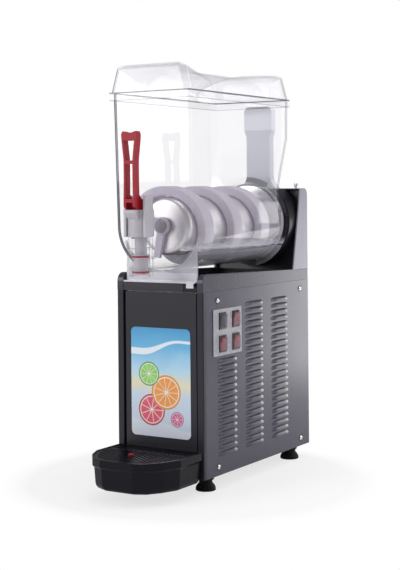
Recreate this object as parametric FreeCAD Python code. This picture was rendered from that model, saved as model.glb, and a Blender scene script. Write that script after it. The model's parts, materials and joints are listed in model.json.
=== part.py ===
"""A one-bowl slush machine: louvred cabinet, chilled drum with spiral auger, clear bowl, tap and drip tray.

Units are millimetres. X runs to the right as the machine is seen from the front (its switches are on the
+X side), Y runs from its front to its back, Z runs up from the surface that the feet stand on.
Every piece is drawn with the cabinet's front face at y = 0, and the finished pieces are moved together so
that the origin lies on the floor under the middle of the machine.
"""

import FreeCAD
import Part
import math
import os

Vector = FreeCAD.Vector

# General fits
seat_gap = 0.3
running_gap = 0.6

# Cabinet
cabinet_width = 200.0
cabinet_depth = 440.0
cabinet_height = 359.0
side_sheet = 1.0
frame_sheet = 1.5
post_face = 14.0
post_depth = 9.0
post_lap = 17.0
flange_height = 26.0

# Feet
foot_height = 28.5
foot_radius = 20.0
foot_neck_radius = 13.5
foot_head_radius = 16.5
foot_stud_radius = 4.0
foot_stud_length = 12.0
foot_inset_x = 25.0
foot_front_inset = 45.0
foot_rear_inset = 46.0

# Front panel with its picture
front_panel_gap = 3.5
front_panel_recess = 3.0
front_panel_sheet = 1.2
front_panel_bottom = 34.0
picture_width = 138.0
picture_height = 213.0
picture_bottom = 103.0
picture_sheet = 1.0
picture_corner = 10.0

# Side panel screws
screw_front_inset = 53.8
screw_rear_inset = 39.7
screw_bottom_inset = 16.7
screw_top_inset = 18.2
screw_shank_radius = 2.5
screw_shank_length = 9.0
screw_head_radius = 5.0
screw_head_height = 2.4
screw_recess_radius = 1.6
washer_radius = 6.4
washer_sheet = 0.6

# Louvres
louvre_length = 75.0
louvre_pitch = 12.95
louvre_height = 8.0
louvre_reach = 3.6
louvre_end = 7.0
louvre_lowest = 66.0
louvre_column_starts = (53.0, 161.0, 269.5)
louvre_column_rows_right = (15, 23, 23)
louvre_column_rows_left = (23, 23, 23)
rear_louvre_rows = 20

# Switch plate and rocker switches
plate_start = 35.5
plate_length = 109.0
plate_lap = 5.0
plate_height = 91.0
plate_top_inset = 35.6
plate_sheet = 1.5
switch_pitch_y = 51.0
switch_pitch_z = 44.8
switch_frame_width = 26.0
switch_frame_height = 33.0
switch_frame_reach = 1.6
switch_body_width = 22.0
switch_body_height = 29.0
switch_body_depth = 22.0
switch_wall = 1.2
rocker_reach = 4.0
rocker_depth = 6.0
rocker_edge = 0.5
rocker_face_share = 0.96
rocker_back_share = 0.5
switch_offset_y = 5.0
switch_back = 4.0
rocker_dip = 2.2
rocker_tilt = 8.0
rocker_pivot_depth = 1.8
rocker_pin_radius = 1.2
rocker_pin_fit = 0.05
rocker_side_gap = 1.2
boot_reach = 7.4
boot_wall = 0.8
boot_face_width = 14.0
boot_face_height = 19.0

# Drip tray
tray_reach = 152.0
tray_half_width = 97.0
tray_side_length = 78.0
tray_cheek_half_width = 82.0
tray_cheek_length = 113.0
tray_shoulder_half_width = 61.0
tray_shoulder_length = 141.0
tray_nose_half_width = 36.0
tray_top = 82.0
tray_bottom = 21.5
tray_rim_height = 14.0
tray_rim_lip = 3.0
tray_taper = 3.0
tray_bottom_round = 13.0
tray_round_steps = 4
tray_rim_slope = 4.0
tray_wall = 3.0
tray_ledge = 4.0
tray_corner = 8.0
tray_rear_corner = 2.0
tray_gap = 0.6
grille_thickness = 4.0
grille_slot_width = 4.6
grille_slot_pitch = 8.6
grille_bar_share = 0.55
grille_bar_half_width = 4.0
grille_tooth_floor = 1.5
grille_edge = 7.0
bracket_sheet = 2.0
bracket_half_width = 55.0
bracket_reach = 75.0
bracket_foot = 20.0

# Tray float
float_x = -9.0
float_y = -87.5
float_button_radius = 5.4
float_land = 3.0
float_button_height = 4.0
float_stem_radius = 2.6
float_disc_radius = 13.0
float_disc_height = 8.0
float_disc_bottom = 40.0
float_travel = 10.0

# Side rails, trim and deck
rail_front_height = 34.5
rail_rear_height = 25.0
rail_end_height = 23.5
rail_nose_radius = 17.0
rail_wall = 2.0
trim_height = 17.0
trim_depth = 12.0
trim_right_end = 56.0
deck_floor = 2.5
deck_wall = 3.0
catch_height = 11.5
catch_rib = 5.0

# Tower at the back
tower_foot_depth = 67.5
tower_shoulder_depth = 33.0
tower_shoulder_height = 190.0
tower_height = 199.5
tower_sheet = 1.2
tower_corner = 14.0
tower_lip = 3.0
tower_front_setback = 12.0
tower_front_wall = 3.0
boss_radius = 95.0
boss_wall = 4.0

# Consistency knob on the tower
knob_x = 80.0
knob_rear_inset = 13.0
knob_radius = 4.5
knob_height = 8.0
knob_collar_height = 3.5
knob_stem_radius = 2.0
knob_stem_length = 34.0
knob_nut_width = 9.0
knob_nut_height = 6.0
knob_nut_drop = 5.8

# Translucent light column on the tower
column_foot_half_width = 46.0
column_waist_half_width = 29.0
column_head_half_width = 34.5
column_depth = 20.0
column_rear_inset = 20.5
column_height = 181.0
column_foot_height = 30.0
column_head_height = 66.0
column_shoulder = 12.0
column_crown = 8.0
column_wall = 2.4
lamp_board_half_width = 8.0
lamp_board_sheet = 1.6
lamp_board_height = 150.0

# Chilled drum, seal and drive
axis_rise = 127.5
drum_radius = 58.0
drum_wall = 3.0
drum_front = 20.0
drum_rear = 350.0
drum_edge_radius = 12.0
drum_flange_radius = 79.0
drum_flange_rear = 366.0
gasket_thickness = 4.0
gasket_front = 352.0
gasket_length = 11.0
shaft_radius = 8.0
shaft_sleeve_wall = 3.5
shaft_front = 2.0
shaft_rear = 418.0
seal_radius = 14.0
seal_thickness = 2.4

# Auger
auger_radius = 78.0
auger_drum_gap = 1.8
auger_band = 36.0
auger_pitch = 113.0
auger_front = 10.0
auger_lead_in = 88.0
auger_start_angle = 200.0
auger_step = 9.0
auger_rear_gap = 6.0
auger_hub_radius = 17.0
auger_hub_front = 7.0
auger_arm_width = 17.0
auger_arm_thickness = 8.0
auger_arm_angles = (-101.0, 160.0)
nut_radius = 14.0
nut_dome = 9.0

# Bowl
bowl_wall = 3.0
bowl_trough_radius = 86.5
bowl_rim_half_width = 90.2
bowl_rim_height = 387.6
bowl_front = -18.5
bowl_front_lean = 5.0
bowl_rear = 336.0
bowl_rear_bulge = 38.0
bowl_bulge_low = 202.5
bowl_bulge_high = 306.5
bowl_corner = 5.0
bowl_neck_rear = 353.0
bowl_flange_radius = 97.0
bowl_flange_sheet = 6.0
skirt_half_width = 82.5
skirt_back = 12.0
skirt_foot_front = -3.0
rib_height = 77.5
rib_reach = 4.0
rib_straight_end = 257.0
rib_rise = 30.0
tab_start = 64.0
tab_width = 16.0
tab_drop = 9.0

# Lid
lid_half_width = 93.5
lid_front = -33.0
lid_rear = 377.0
lid_skirt = 16.0
lid_wall = 2.2
lid_corner = 4.0
lid_crown_height = 55.4
lid_crown_margin = 1.0
lid_crown_side_lean = 11.0
lid_crown_end_lean = 2.0
lid_crown_round = 12.0
lid_crown_corner = 12.0
lid_crown_levels = 5
lid_vault_height = 47.5
lid_vault_rise = 19.0
lid_vault_rise_power = 1.5
lid_vault_margin = 5.5
lid_vault_spread = 44.0
lid_vault_spread_power = 0.6
lid_vault_straight = 0.55
lid_vault_sections = 12

# Tap
tap_axis_y = -62.4
tap_tube_radius = 23.5
tap_bore_radius = 17.2
tap_tube_bottom = 32.5
tap_tube_top = 108.5
tap_notches = 10
tap_notch_width = 5.0
tap_notch_height = 3.5
port_rise = 56.5
port_radius = 11.0
port_wall = 3.5
tap_body_radius = 24.3
tap_body_top = 160.5
tap_cap = 4.0
tap_block_half_width = 3.5
tap_block_rear = -21.0
tap_nose_front = -101.0
tap_nose_half_width = 13.0
tap_nose_edge = 6.0
tap_nose_fall = 17.0
tap_ear_inner = 20.0
tap_ear_outer = 24.8
tap_ear_front = -83.0
tap_ear_rear = -56.0
tap_ear_top = 187.5
piston_radius = 14.0
piston_land_radius = 16.4
piston_bottom = 36.5
piston_top = 113.0
piston_neck_radius = 11.5
piston_cap = 6.0
piston_land_reach = 2.2
piston_rod_radius = 6.0
piston_eye_wall = 0.8
ring_low = 41.5
ring_high = 71.0
ring_section = 1.9
ring_gap = 0.3
spring_wire = 0.9
spring_radius = 10.5
spring_turns = 6
spring_seat = 0.1

# Tap handle
pivot_rise = 169.0
pivot_pin_radius = 3.0
handle_front_offset = 37.6
handle_thickness = 16.0
handle_head_half_width = 17.5
handle_waist_half_width = 12.3
handle_foot_half_width = 12.9
handle_leg = 4.5
handle_top = 309.5
handle_window_top = 291.5
handle_bar_top = 254.0
handle_bar_bottom = 247.5
handle_cheek_top = 181.0
handle_bridge_bottom = 174.5
handle_cheek_thickness = 5.2
handle_toe_length = 8.0
handle_toe_height = 6.5
handle_cam_rear = 9.0
handle_shoulder_rise = 34.0
handle_shoulder_in = 1.0
handle_crown_fall = 6.0
handle_crown_in = 3.0
handle_crown_dip = 3.0
handle_fillet = 8.0
handle_cheek_nose = 4.0

# Refrigeration pieces in the cabinet
condenser_half_width = 75.0
condenser_front = 52.0
condenser_depth = 38.0
condenser_height = 190.0
condenser_fins = 20
condenser_fin_sheet = 0.8
condenser_tube_radius = 4.0
shroud_depth = 24.0
fan_radius = 66.0
fan_hub_radius = 20.0
fan_hub_depth = 14.0
fan_blade_half_width = 14.0
fan_blade_half_sheet = 0.8
fan_blade_pitch = 22.0
fan_blades = 5
fan_tip_gap = 4.0
fan_motor_radius = 32.0
fan_motor_length = 45.0
compressor_radius = 56.0
compressor_height = 150.0
compressor_rear_inset = 95.0
compressor_x = 10.0
compressor_plate_x = 56.0
compressor_plate_y = 42.0
compressor_plate_sheet = 5.0
compressor_rise = 8.0
compressor_dome = 18.0
pipe_radius = 4.0
pipe_bend = 16.0
pipe_x = 60.0
pipe_y = 404.0
pipe_drop = 34.0
gearmotor_half_width = 40.0
gearmotor_half_height = 40.0
gearmotor_front = 392.0
gearmotor_rear = 434.0
gearmotor_nose_radius = 30.0
gearmotor_nose_front = 370.0
control_box_width = 46.0
control_box_length = 120.0
control_box_height = 84.0
control_box_start = 200.0
gland_x = -60.0
gland_height = 72.0
gland_radius = 7.5
gland_flange_radius = 11.0
gland_bore_radius = 4.0
gland_flange_sheet = 3.0
gland_depth = 12.0

# Places worked out from the dimensions above
half_width = cabinet_width / 2
deck_z = foot_height + cabinet_height
base_z = foot_height + frame_sheet
axis_z = deck_z + axis_rise
inner_half = half_width - side_sheet
rail_inner = half_width - post_face
middle_y = (cabinet_depth - tray_reach) / 2
bowl_rim_z = deck_z + bowl_rim_height
tower_top = deck_z + tower_height
trim_top = deck_z + trim_height
column_base = tower_top


def box(x0, x1, y0, y1, z0, z1):
    """A box between two corners."""
    return Part.makeBox(x1 - x0, y1 - y0, z1 - z0, Vector(x0, y0, z0))


def rod_y(radius, y0, y1, x=0.0, z=None):
    """A cylinder along Y, on the drum's axis unless another place is given."""
    height = axis_z if z is None else z
    return Part.makeCylinder(radius, y1 - y0, Vector(x, y0, height), Vector(0, 1, 0))


def rod_z(radius, z0, z1, x, y):
    """An upright cylinder."""
    return Part.makeCylinder(radius, z1 - z0, Vector(x, y, z0))


def rod_x(radius, x0, x1, y, z):
    """A cylinder along X."""
    return Part.makeCylinder(radius, x1 - x0, Vector(x0, y, z), Vector(1, 0, 0))


def mirrored(shape):
    """The same piece on the other side of the machine."""
    return shape.mirror(Vector(0, 0, 0), Vector(1, 0, 0))


def plate_yz(points, x0, x1):
    """A flat outline of (y, z) points, thickened from x0 to x1."""
    corners = [Vector(x0, y, z) for y, z in points]
    face = Part.Face(Part.makePolygon(corners + corners[:1]))
    return face.extrude(Vector(x1 - x0, 0, 0))


def plate_xz(points, y0, y1):
    """A flat outline of (x, z) points, thickened from y0 to y1."""
    corners = [Vector(x, y0, z) for x, z in points]
    face = Part.Face(Part.makePolygon(corners + corners[:1]))
    return face.extrude(Vector(0, y1 - y0, 0))


def rounded_wire(points, radii, z):
    """A closed outline of (x, y) points at height z whose corners are rounded by the given radii."""
    count = len(points)
    starts = []
    edges = []
    for i in range(count):
        corner = Vector(points[i][0], points[i][1], z)
        before = Vector(points[i - 1][0], points[i - 1][1], z)
        after = Vector(points[(i + 1) % count][0], points[(i + 1) % count][1], z)
        to_before = (before - corner).normalize()
        to_after = (after - corner).normalize()
        half_angle = to_before.getAngle(to_after) / 2
        run = radii[i] / math.tan(half_angle)
        first = corner + to_before * run
        last = corner + to_after * run
        bisector = (to_before + to_after).normalize()
        centre = corner + bisector * (radii[i] / math.sin(half_angle))
        middle = centre - bisector * radii[i]
        starts.append((first, middle, last))
    for i in range(count):
        first, middle, last = starts[i]
        following = starts[(i + 1) % count][0]
        edges.append(Part.Arc(first, middle, last).toShape())
        edges.append(Part.LineSegment(last, following).toShape())
    return Part.Wire(edges)


def upright_edges(shape):
    """The edges of a shape that run up and down."""
    return [e for e in shape.Edges if abs(e.Vertexes[0].Z - e.Vertexes[-1].Z) > 1]


def ruled(wires):
    """A solid between outlines with the same number of edges."""
    return Part.makeLoft(wires, True, True)


def closed_solid(faces):
    """A solid from flat faces, each a list of corners."""
    made = [Part.Face(Part.makePolygon(list(face) + [face[0]])) for face in faces]
    return Part.Solid(Part.Shell(made))


def turned(points, x, y):
    """A solid of revolution about an upright axis, from (radius, z) points that start and end on the axis."""
    corners = [Vector(x + r, y, z) for r, z in points]
    face = Part.Face(Part.makePolygon(corners + corners[:1]))
    return face.revolve(Vector(x, y, 0), Vector(0, 0, 1), 360)


def joined(shapes):
    """One solid from several that overlap or share faces."""
    return shapes[0].multiFuse(shapes[1:]).removeSplitter()


# Cabinet frame

def screw_places():
    """The (y, z) places of the screws that hold a side panel."""
    rows = (foot_height + screw_bottom_inset, deck_z - screw_top_inset)
    return [(y, z) for y in (screw_front_inset, cabinet_depth - screw_rear_inset) for z in rows]


def foot_places():
    """The (x, y) places of the feet."""
    x = half_width - foot_inset_x
    rear = cabinet_depth - foot_rear_inset
    return [(side * x, y) for side in (-1, 1) for y in (foot_front_inset, rear)]


def make_base_pan():
    """The folded pan that carries the refrigeration pieces."""
    front = post_depth + seat_gap
    rear = cabinet_depth - frame_sheet
    pan = box(-inner_half, inner_half, front, rear, foot_height, base_z)
    flange_front = post_depth + post_lap + seat_gap
    flange_rear = rear - post_lap
    flange = box(inner_half - frame_sheet, inner_half, flange_front, flange_rear, base_z, base_z + flange_height)
    pan = joined([pan, flange, mirrored(flange)])
    cuts = [rod_z(foot_stud_radius + seat_gap, 0, deck_z, x, y) for x, y in foot_places()]
    for y, z in screw_places():
        cuts.append(rod_x(screw_shank_radius + seat_gap / 3, -half_width, half_width, y, z))
    return pan.cut(Part.makeCompound(cuts))


def make_front_post():
    """The right front corner post: a block at the corner and a lap behind the side panel."""
    block = box(rail_inner, half_width, 0, post_depth, foot_height, deck_z)
    block = block.makeFillet(2.0, [e for e in block.Edges if is_corner_edge(e)])
    lap = box(inner_half - frame_sheet, inner_half, post_depth, post_depth + post_lap, base_z, deck_z - frame_sheet)
    return joined([block, lap])


def is_corner_edge(edge):
    """True for the upright edge at the machine's front right corner."""
    middle = edge.CenterOfMass
    upright = abs(edge.Vertexes[0].Z - edge.Vertexes[-1].Z) > 1
    return upright and middle.x > half_width - 0.1 and middle.y < 0.1


def make_rear_posts():
    """Two folded angles in the rear corners."""
    rear = cabinet_depth - frame_sheet
    top = deck_z - frame_sheet
    outer = box(inner_half - frame_sheet, inner_half, rear - post_lap + seat_gap, rear, base_z, top)
    inner = box(rail_inner, inner_half, rear - frame_sheet, rear, base_z, top)
    holes = [rod_y(screw_shank_radius + seat_gap / 3, 0, cabinet_depth, x, z) for x, z in rear_screw_places()]
    for y, z in screw_places():
        holes.append(rod_x(screw_shank_radius + seat_gap / 3, 0, half_width, y, z))
    right = joined([outer, inner]).cut(Part.makeCompound(holes))
    return Part.makeCompound([right, mirrored(right)])


def make_top_deck():
    """The folded steel deck that closes the cabinet and carries the drum's tower."""
    front = post_depth + seat_gap
    rear = cabinet_depth - frame_sheet
    deck = box(-inner_half, inner_half, front, rear, deck_z - frame_sheet, deck_z)
    flange_front = post_depth + post_lap + seat_gap
    low = deck_z - frame_sheet - flange_height
    flange = box(inner_half - frame_sheet, inner_half, flange_front, rear - post_lap, low, deck_z - frame_sheet)
    deck = joined([deck, flange, mirrored(flange)])
    cuts = [rod_z(pipe_radius + 1.0, 0, axis_z, side * pipe_x, pipe_y) for side in (-1, 1)]
    for y, z in screw_places():
        cuts.append(rod_x(screw_shank_radius + seat_gap / 3, -half_width, half_width, y, z))
    return deck.cut(Part.makeCompound(cuts))


def make_front_bulkhead():
    """The sheet behind the front panel."""
    side = inner_half - frame_sheet
    return box(-side, side, post_depth, post_depth + seat_gap, base_z, deck_z - frame_sheet)


def make_front_panel():
    """The dark front panel: a shallow folded tray, open at the back."""
    side = rail_inner - front_panel_gap
    top = deck_z - frame_sheet
    outer = box(-side, side, front_panel_recess, post_depth, front_panel_bottom, top)
    face = front_panel_recess + front_panel_sheet
    inset = front_panel_sheet
    hollow = box(-side + inset, side - inset, face, post_depth, front_panel_bottom + inset, top - inset)
    return outer.cut(hollow)


def make_picture_panel():
    """The picture window: a thin sheet with rounded corners on the front panel."""
    half = picture_width / 2
    points = [(-half, 0), (half, 0), (half, picture_height), (-half, picture_height)]
    flat = rounded_wire(points, [picture_corner] * 4, 0)
    sheet = Part.Face(flat).extrude(Vector(0, 0, picture_sheet))
    sheet.rotate(Vector(0, 0, 0), Vector(1, 0, 0), 90)
    sheet.translate(Vector(0, front_panel_recess, picture_bottom))
    return sheet


# Louvred panels

def tent(length, height, reach, end):
    """A louvre's hood as a solid on the plane x = 0: it starts at the origin and runs along +Y."""
    low_near = Vector(0, 0, 0)
    low_far = Vector(0, length, 0)
    lip_near = Vector(reach, end, 0)
    lip_far = Vector(reach, length - end, 0)
    top_near = Vector(0, end, height)
    top_far = Vector(0, length - end, height)
    return closed_solid([
        (low_near, low_far, lip_far, lip_near),
        (low_near, top_near, top_far, low_far),
        (lip_near, lip_far, top_far, top_near),
        (low_near, lip_near, top_near),
        (low_far, top_far, lip_far),
    ])


def hood_and_slot(length, sheet):
    """A louvre's thin hood on the plane x = 0, and the slot that is cut in the sheet behind it."""
    outer = tent(length, louvre_height, louvre_reach, louvre_end)
    inner = tent(length - 2 * sheet, louvre_height - sheet, louvre_reach - sheet, louvre_end)
    inner.translate(Vector(0, sheet, 0))
    hood = outer.cut(inner)
    outline = [
        (sheet, 0),
        (length - sheet, 0),
        (length - sheet - louvre_end, louvre_height - sheet),
        (sheet + louvre_end, louvre_height - sheet),
    ]
    slot = plate_yz(outline, -2 * sheet, 0)
    return hood, slot


def louvred(sheet, places, length, thickness):
    """A sheet on the plane x = 0 with louvres whose lower near ends are at the (y, z) places."""
    hood, slot = hood_and_slot(length, thickness)
    hoods = []
    slots = []
    for y, z in places:
        hoods.append(hood.translated(Vector(0, y, z)))
        slots.append(slot.translated(Vector(0, y, z)))
    return sheet.cut(Part.makeCompound(slots)).multiFuse(hoods)


def make_side_panel(rows, with_switches):
    """The right-hand side panel, with its louvres pressed outwards and its holes."""
    sheet = box(-side_sheet, 0, post_depth, cabinet_depth, foot_height, deck_z)
    places = []
    for start, count in zip(louvre_column_starts, rows):
        places += [(start, louvre_lowest + k * louvre_pitch) for k in range(count)]
    holes = [rod_x(screw_shank_radius + seat_gap, -5, 5, y, z) for y, z in screw_places()]
    if with_switches:
        edge = plate_lap
        top = deck_z - plate_top_inset
        holes.append(box(-5, 5, plate_start + edge, plate_start + plate_length - edge,
                         top - plate_height + edge, top - edge))
    panel = louvred(sheet, places, louvre_length, side_sheet).cut(Part.makeCompound(holes))
    panel.translate(Vector(half_width, 0, 0))
    return panel


def rear_screw_places():
    """The (x, z) places of the screws in the rear panel."""
    x = rail_inner + (inner_half - rail_inner) / 2
    rows = (foot_height + screw_bottom_inset, deck_z - screw_top_inset)
    return [(side * x, z) for side in (-1, 1) for z in rows]


def make_rear_panel():
    """The rear panel, with one wide column of louvres and the cord's hole."""
    length = 2 * louvre_length
    sheet = box(-side_sheet, 0, -inner_half + seat_gap, inner_half - seat_gap, base_z, deck_z)
    first = gland_height + gland_flange_radius + louvre_height
    places = [(-length / 2, first + k * louvre_pitch) for k in range(rear_louvre_rows)]
    panel = louvred(sheet, places, length, side_sheet)
    panel.rotate(Vector(0, 0, 0), Vector(0, 0, 1), 90)
    panel.translate(Vector(0, cabinet_depth, 0))
    holes = [rod_y(gland_radius + seat_gap, cabinet_depth - 5, cabinet_depth + 5, gland_x, gland_height)]
    for x, z in rear_screw_places():
        holes.append(rod_y(screw_shank_radius + seat_gap, cabinet_depth - 5, cabinet_depth + 5, x, z))
    return panel.cut(Part.makeCompound(holes))


def make_cable_gland():
    """The gland where the mains lead leaves the cabinet."""
    flange = rod_y(gland_flange_radius, cabinet_depth, cabinet_depth + gland_flange_sheet, gland_x, gland_height)
    barrel = rod_y(gland_radius, cabinet_depth - gland_depth, cabinet_depth, gland_x, gland_height)
    bore = rod_y(gland_bore_radius, cabinet_depth - 2 * gland_depth, cabinet_depth + gland_depth,
                 gland_x, gland_height)
    return joined([flange, barrel]).cut(bore)


def make_screw():
    """A domed screw along X with its seat on the plane x = 0 and a round drive recess."""
    ball = (screw_head_radius ** 2 + screw_head_height ** 2) / (2 * screw_head_height)
    dome = Part.makeSphere(ball, Vector(screw_head_height - ball, 0, 0))
    head = dome.common(rod_x(screw_head_radius, 0, screw_head_height, 0, 0))
    shank = rod_x(screw_shank_radius, -screw_shank_length, 0, 0, 0)
    recess = rod_x(screw_recess_radius, screw_head_height - 1.2, screw_head_height + 1, 0, 0)
    return head.fuse(shank).cut(recess)


def make_panel_screws():
    """The screws of both side panels and of the rear panel."""
    screw = make_screw()
    seat = half_width + washer_sheet
    right = [screw.translated(Vector(seat, y, z)) for y, z in screw_places()]
    screw.rotate(Vector(0, 0, 0), Vector(0, 0, 1), 90)
    rear = [screw.translated(Vector(x, cabinet_depth, z)) for x, z in rear_screw_places()]
    return Part.makeCompound(right + [mirrored(s) for s in right] + rear)


def make_screw_washers():
    """The dark washers under the side panel screws."""
    right = []
    for y, z in screw_places():
        disc = rod_x(washer_radius, half_width, half_width + washer_sheet, y, z)
        right.append(disc.cut(rod_x(screw_shank_radius + seat_gap, 0, cabinet_width, y, z)))
    return Part.makeCompound(right + [mirrored(w) for w in right])


def make_feet():
    """Four rubber feet with a flared sole, a neck and a threaded stud."""
    sole = 0.25 * foot_height
    neck = 0.45 * foot_height
    head = 0.75 * foot_height
    profile = [
        (0, 0), (foot_radius - 1.5, 0), (foot_radius, 1.5), (foot_radius, sole),
        (foot_neck_radius, neck), (foot_neck_radius, head - 2.0), (foot_head_radius, head),
        (foot_head_radius, foot_height), (foot_stud_radius, foot_height),
        (foot_stud_radius, foot_height + foot_stud_length), (0, foot_height + foot_stud_length),
    ]
    return Part.makeCompound([turned(profile, x, y) for x, y in foot_places()])


# Switches on the right panel

def switch_centres():
    """The (y, z) centres of the four rocker switches, upper row first, front first."""
    y = plate_start + plate_length / 2 - switch_pitch_y / 2 + switch_offset_y
    z = deck_z - plate_top_inset - plate_height / 2
    rows = (z + switch_pitch_z / 2, z - switch_pitch_z / 2)
    return [(y + k * switch_pitch_y, row) for row in rows for k in (0, 1)]


def make_switch_plate():
    """The pale plate that carries the rocker switches."""
    top = deck_z - plate_top_inset
    plate = box(half_width, half_width + plate_sheet, plate_start, plate_start + plate_length,
                top - plate_height, top)
    w = switch_body_width / 2 + seat_gap
    h = switch_body_height / 2 + seat_gap
    holes = [box(0, cabinet_width, y - w, y + w, z - h, z + h) for y, z in switch_centres()]
    return plate.cut(Part.makeCompound(holes))


def rocker_pivot_x():
    """How far out the rockers' pivots lie."""
    return half_width + plate_sheet + switch_frame_reach - rocker_pivot_depth


def make_switch_housing(y, z):
    """One switch housing: a frame on the plate and a body behind it, open for the rocker."""
    face = half_width + plate_sheet
    w, h = switch_frame_width / 2, switch_frame_height / 2
    frame = box(face, face + switch_frame_reach, y - w, y + w, z - h, z + h)
    bw, bh = switch_body_width / 2, switch_body_height / 2
    body = box(face - switch_body_depth, face, y - bw, y + bw, z - bh, z + bh)
    iw, ih = bw - switch_wall, bh - switch_wall
    hollow = box(face - switch_body_depth + switch_back, face + switch_frame_reach, y - iw, y + iw, z - ih, z + ih)
    sockets = rod_y(rocker_pin_radius + rocker_pin_fit, y - bw, y + bw, rocker_pivot_x(), z)
    return joined([frame, body]).cut(hollow).cut(sockets)


def make_rocker(y, z):
    """One rocker on its two pivot pins, tipped so that its upper end stands out."""
    pivot_x = rocker_pivot_x()
    width = switch_body_width / 2 - switch_wall - rocker_side_gap
    height = switch_body_height / 2 - switch_wall - running_gap
    wide = rocker_face_share * height
    narrow = rocker_back_share * height
    profile = [
        (-rocker_depth, -narrow), (rocker_edge, -wide), (rocker_reach, -wide),
        (rocker_dip, 0), (rocker_reach, wide), (rocker_edge, wide), (-rocker_depth, narrow),
    ]
    corners = [Vector(pivot_x + out, y - width, z + up) for out, up in profile]
    rocker = Part.Face(Part.makePolygon(corners + corners[:1])).extrude(Vector(0, 2 * width, 0))
    rocker.rotate(Vector(pivot_x, y, z), Vector(0, 1, 0), rocker_tilt)
    pin_reach = switch_body_width / 2 - switch_wall / 3
    pins = rod_y(rocker_pin_radius, y - pin_reach, y + pin_reach, pivot_x, z)
    return joined([rocker, pins])


def frustum(x0, x1, y, z, half_y0, half_z0, half_y1, half_z1):
    """A four-sided frustum along X."""
    def ring(x, a, b):
        corners = [Vector(x, y - a, z - b), Vector(x, y + a, z - b), Vector(x, y + a, z + b), Vector(x, y - a, z + b)]
        return Part.makePolygon(corners + corners[:1])
    return Part.makeLoft([ring(x0, half_y0, half_z0), ring(x1, half_y1, half_z1)], True, True)


def make_boot(y, z):
    """One clear boot that bulges over a rocker."""
    start = half_width + plate_sheet + switch_frame_reach
    end = start + boot_reach
    w, h = switch_frame_width / 2, switch_frame_height / 2
    fw, fh = boot_face_width / 2, boot_face_height / 2
    outer = frustum(start, end, y, z, w, h, fw, fh)
    t = boot_wall
    inner = frustum(start, end - t, y, z, w - 1.6 * t, h - 1.6 * t, fw - 0.4 * t, fh - 0.4 * t)
    return outer.cut(inner)


# Rails, trim and deck tray

def make_side_rail():
    """The right rail along the top of the cabinet: a hollow moulding with a rounded nose."""
    front = deck_z + rail_front_height
    rear = deck_z + rail_rear_height
    tower_start = cabinet_depth - tower_foot_depth
    end = deck_z + rail_end_height

    def side_outline(inset, low):
        r = rail_nose_radius - inset
        nose_y = inset + r
        nose_z = front - inset - r
        arc = Part.Arc(
            Vector(0, inset, nose_z),
            Vector(0, nose_y - r * math.cos(math.pi / 4), nose_z + r * math.sin(math.pi / 4)),
            Vector(0, nose_y, front - inset),
        ).toShape()
        points = [
            Vector(0, nose_y, front - inset),
            Vector(0, tower_start - inset, rear - inset),
            Vector(0, tower_start - inset, end - inset),
            Vector(0, cabinet_depth - inset, end - inset),
            Vector(0, cabinet_depth - inset, low),
            Vector(0, inset, low),
            Vector(0, inset, nose_z),
        ]
        lines = [Part.LineSegment(a, b).toShape() for a, b in zip(points, points[1:])]
        return Part.Face(Part.Wire([arc] + lines))

    outer = side_outline(0, deck_z).extrude(Vector(post_face, 0, 0))
    inner = side_outline(rail_wall, deck_z).extrude(Vector(post_face - 2 * rail_wall, 0, 0))
    outer.translate(Vector(rail_inner, 0, 0))
    inner.translate(Vector(rail_inner + rail_wall, 0, 0))
    return outer.cut(inner)


def make_front_trim():
    """The bar between the rails, under the bowl's foot, up to the catch."""
    return box(-rail_inner + seat_gap, trim_right_end, 0, trim_depth, deck_z, trim_top)


def make_bowl_catch():
    """The dark catch block beside the trim, with an upright rib."""
    start = trim_right_end + seat_gap
    block = box(start, rail_inner - seat_gap, 0, trim_depth, deck_z, deck_z + catch_height)
    rib = box(start, start + catch_rib, 0, trim_depth, deck_z, trim_top)
    return joined([block, rib])


def make_deck_tray():
    """The moulded pan under the bowl that leads condensed water away."""
    side = rail_inner - seat_gap
    front = trim_depth + seat_gap
    rear = cabinet_depth - tower_foot_depth - seat_gap
    outer = box(-side, side, front, rear, deck_z, trim_top)
    hollow = box(-side + deck_wall, side - deck_wall, front + deck_wall, rear - deck_wall,
                 deck_z + deck_floor, trim_top)
    return outer.cut(hollow)


# Tower

def tower_profile(inset, front_reach):
    """The tower's side outline: slanted front edge, flat top, rounded upper rear corner."""
    low = deck_z + rail_end_height
    foot_y = cabinet_depth - tower_foot_depth + front_reach
    shoulder_y = cabinet_depth - tower_shoulder_depth + front_reach
    shoulder_z = deck_z + tower_shoulder_height
    top = tower_top - inset
    rear = cabinet_depth - inset
    r = tower_corner - inset
    quarter = math.pi / 4
    arc = Part.Arc(
        Vector(0, rear - r, top),
        Vector(0, rear - r + r * math.sin(quarter), top - r + r * math.cos(quarter)),
        Vector(0, rear, top - r),
    ).toShape()
    points = [
        Vector(0, rear, top - r), Vector(0, rear, low), Vector(0, foot_y, low),
        Vector(0, shoulder_y, shoulder_z), Vector(0, shoulder_y, top), Vector(0, rear - r, top),
    ]
    lines = [Part.LineSegment(a, b).toShape() for a, b in zip(points, points[1:])]
    return Part.Face(Part.Wire(lines + [arc]))


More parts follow.
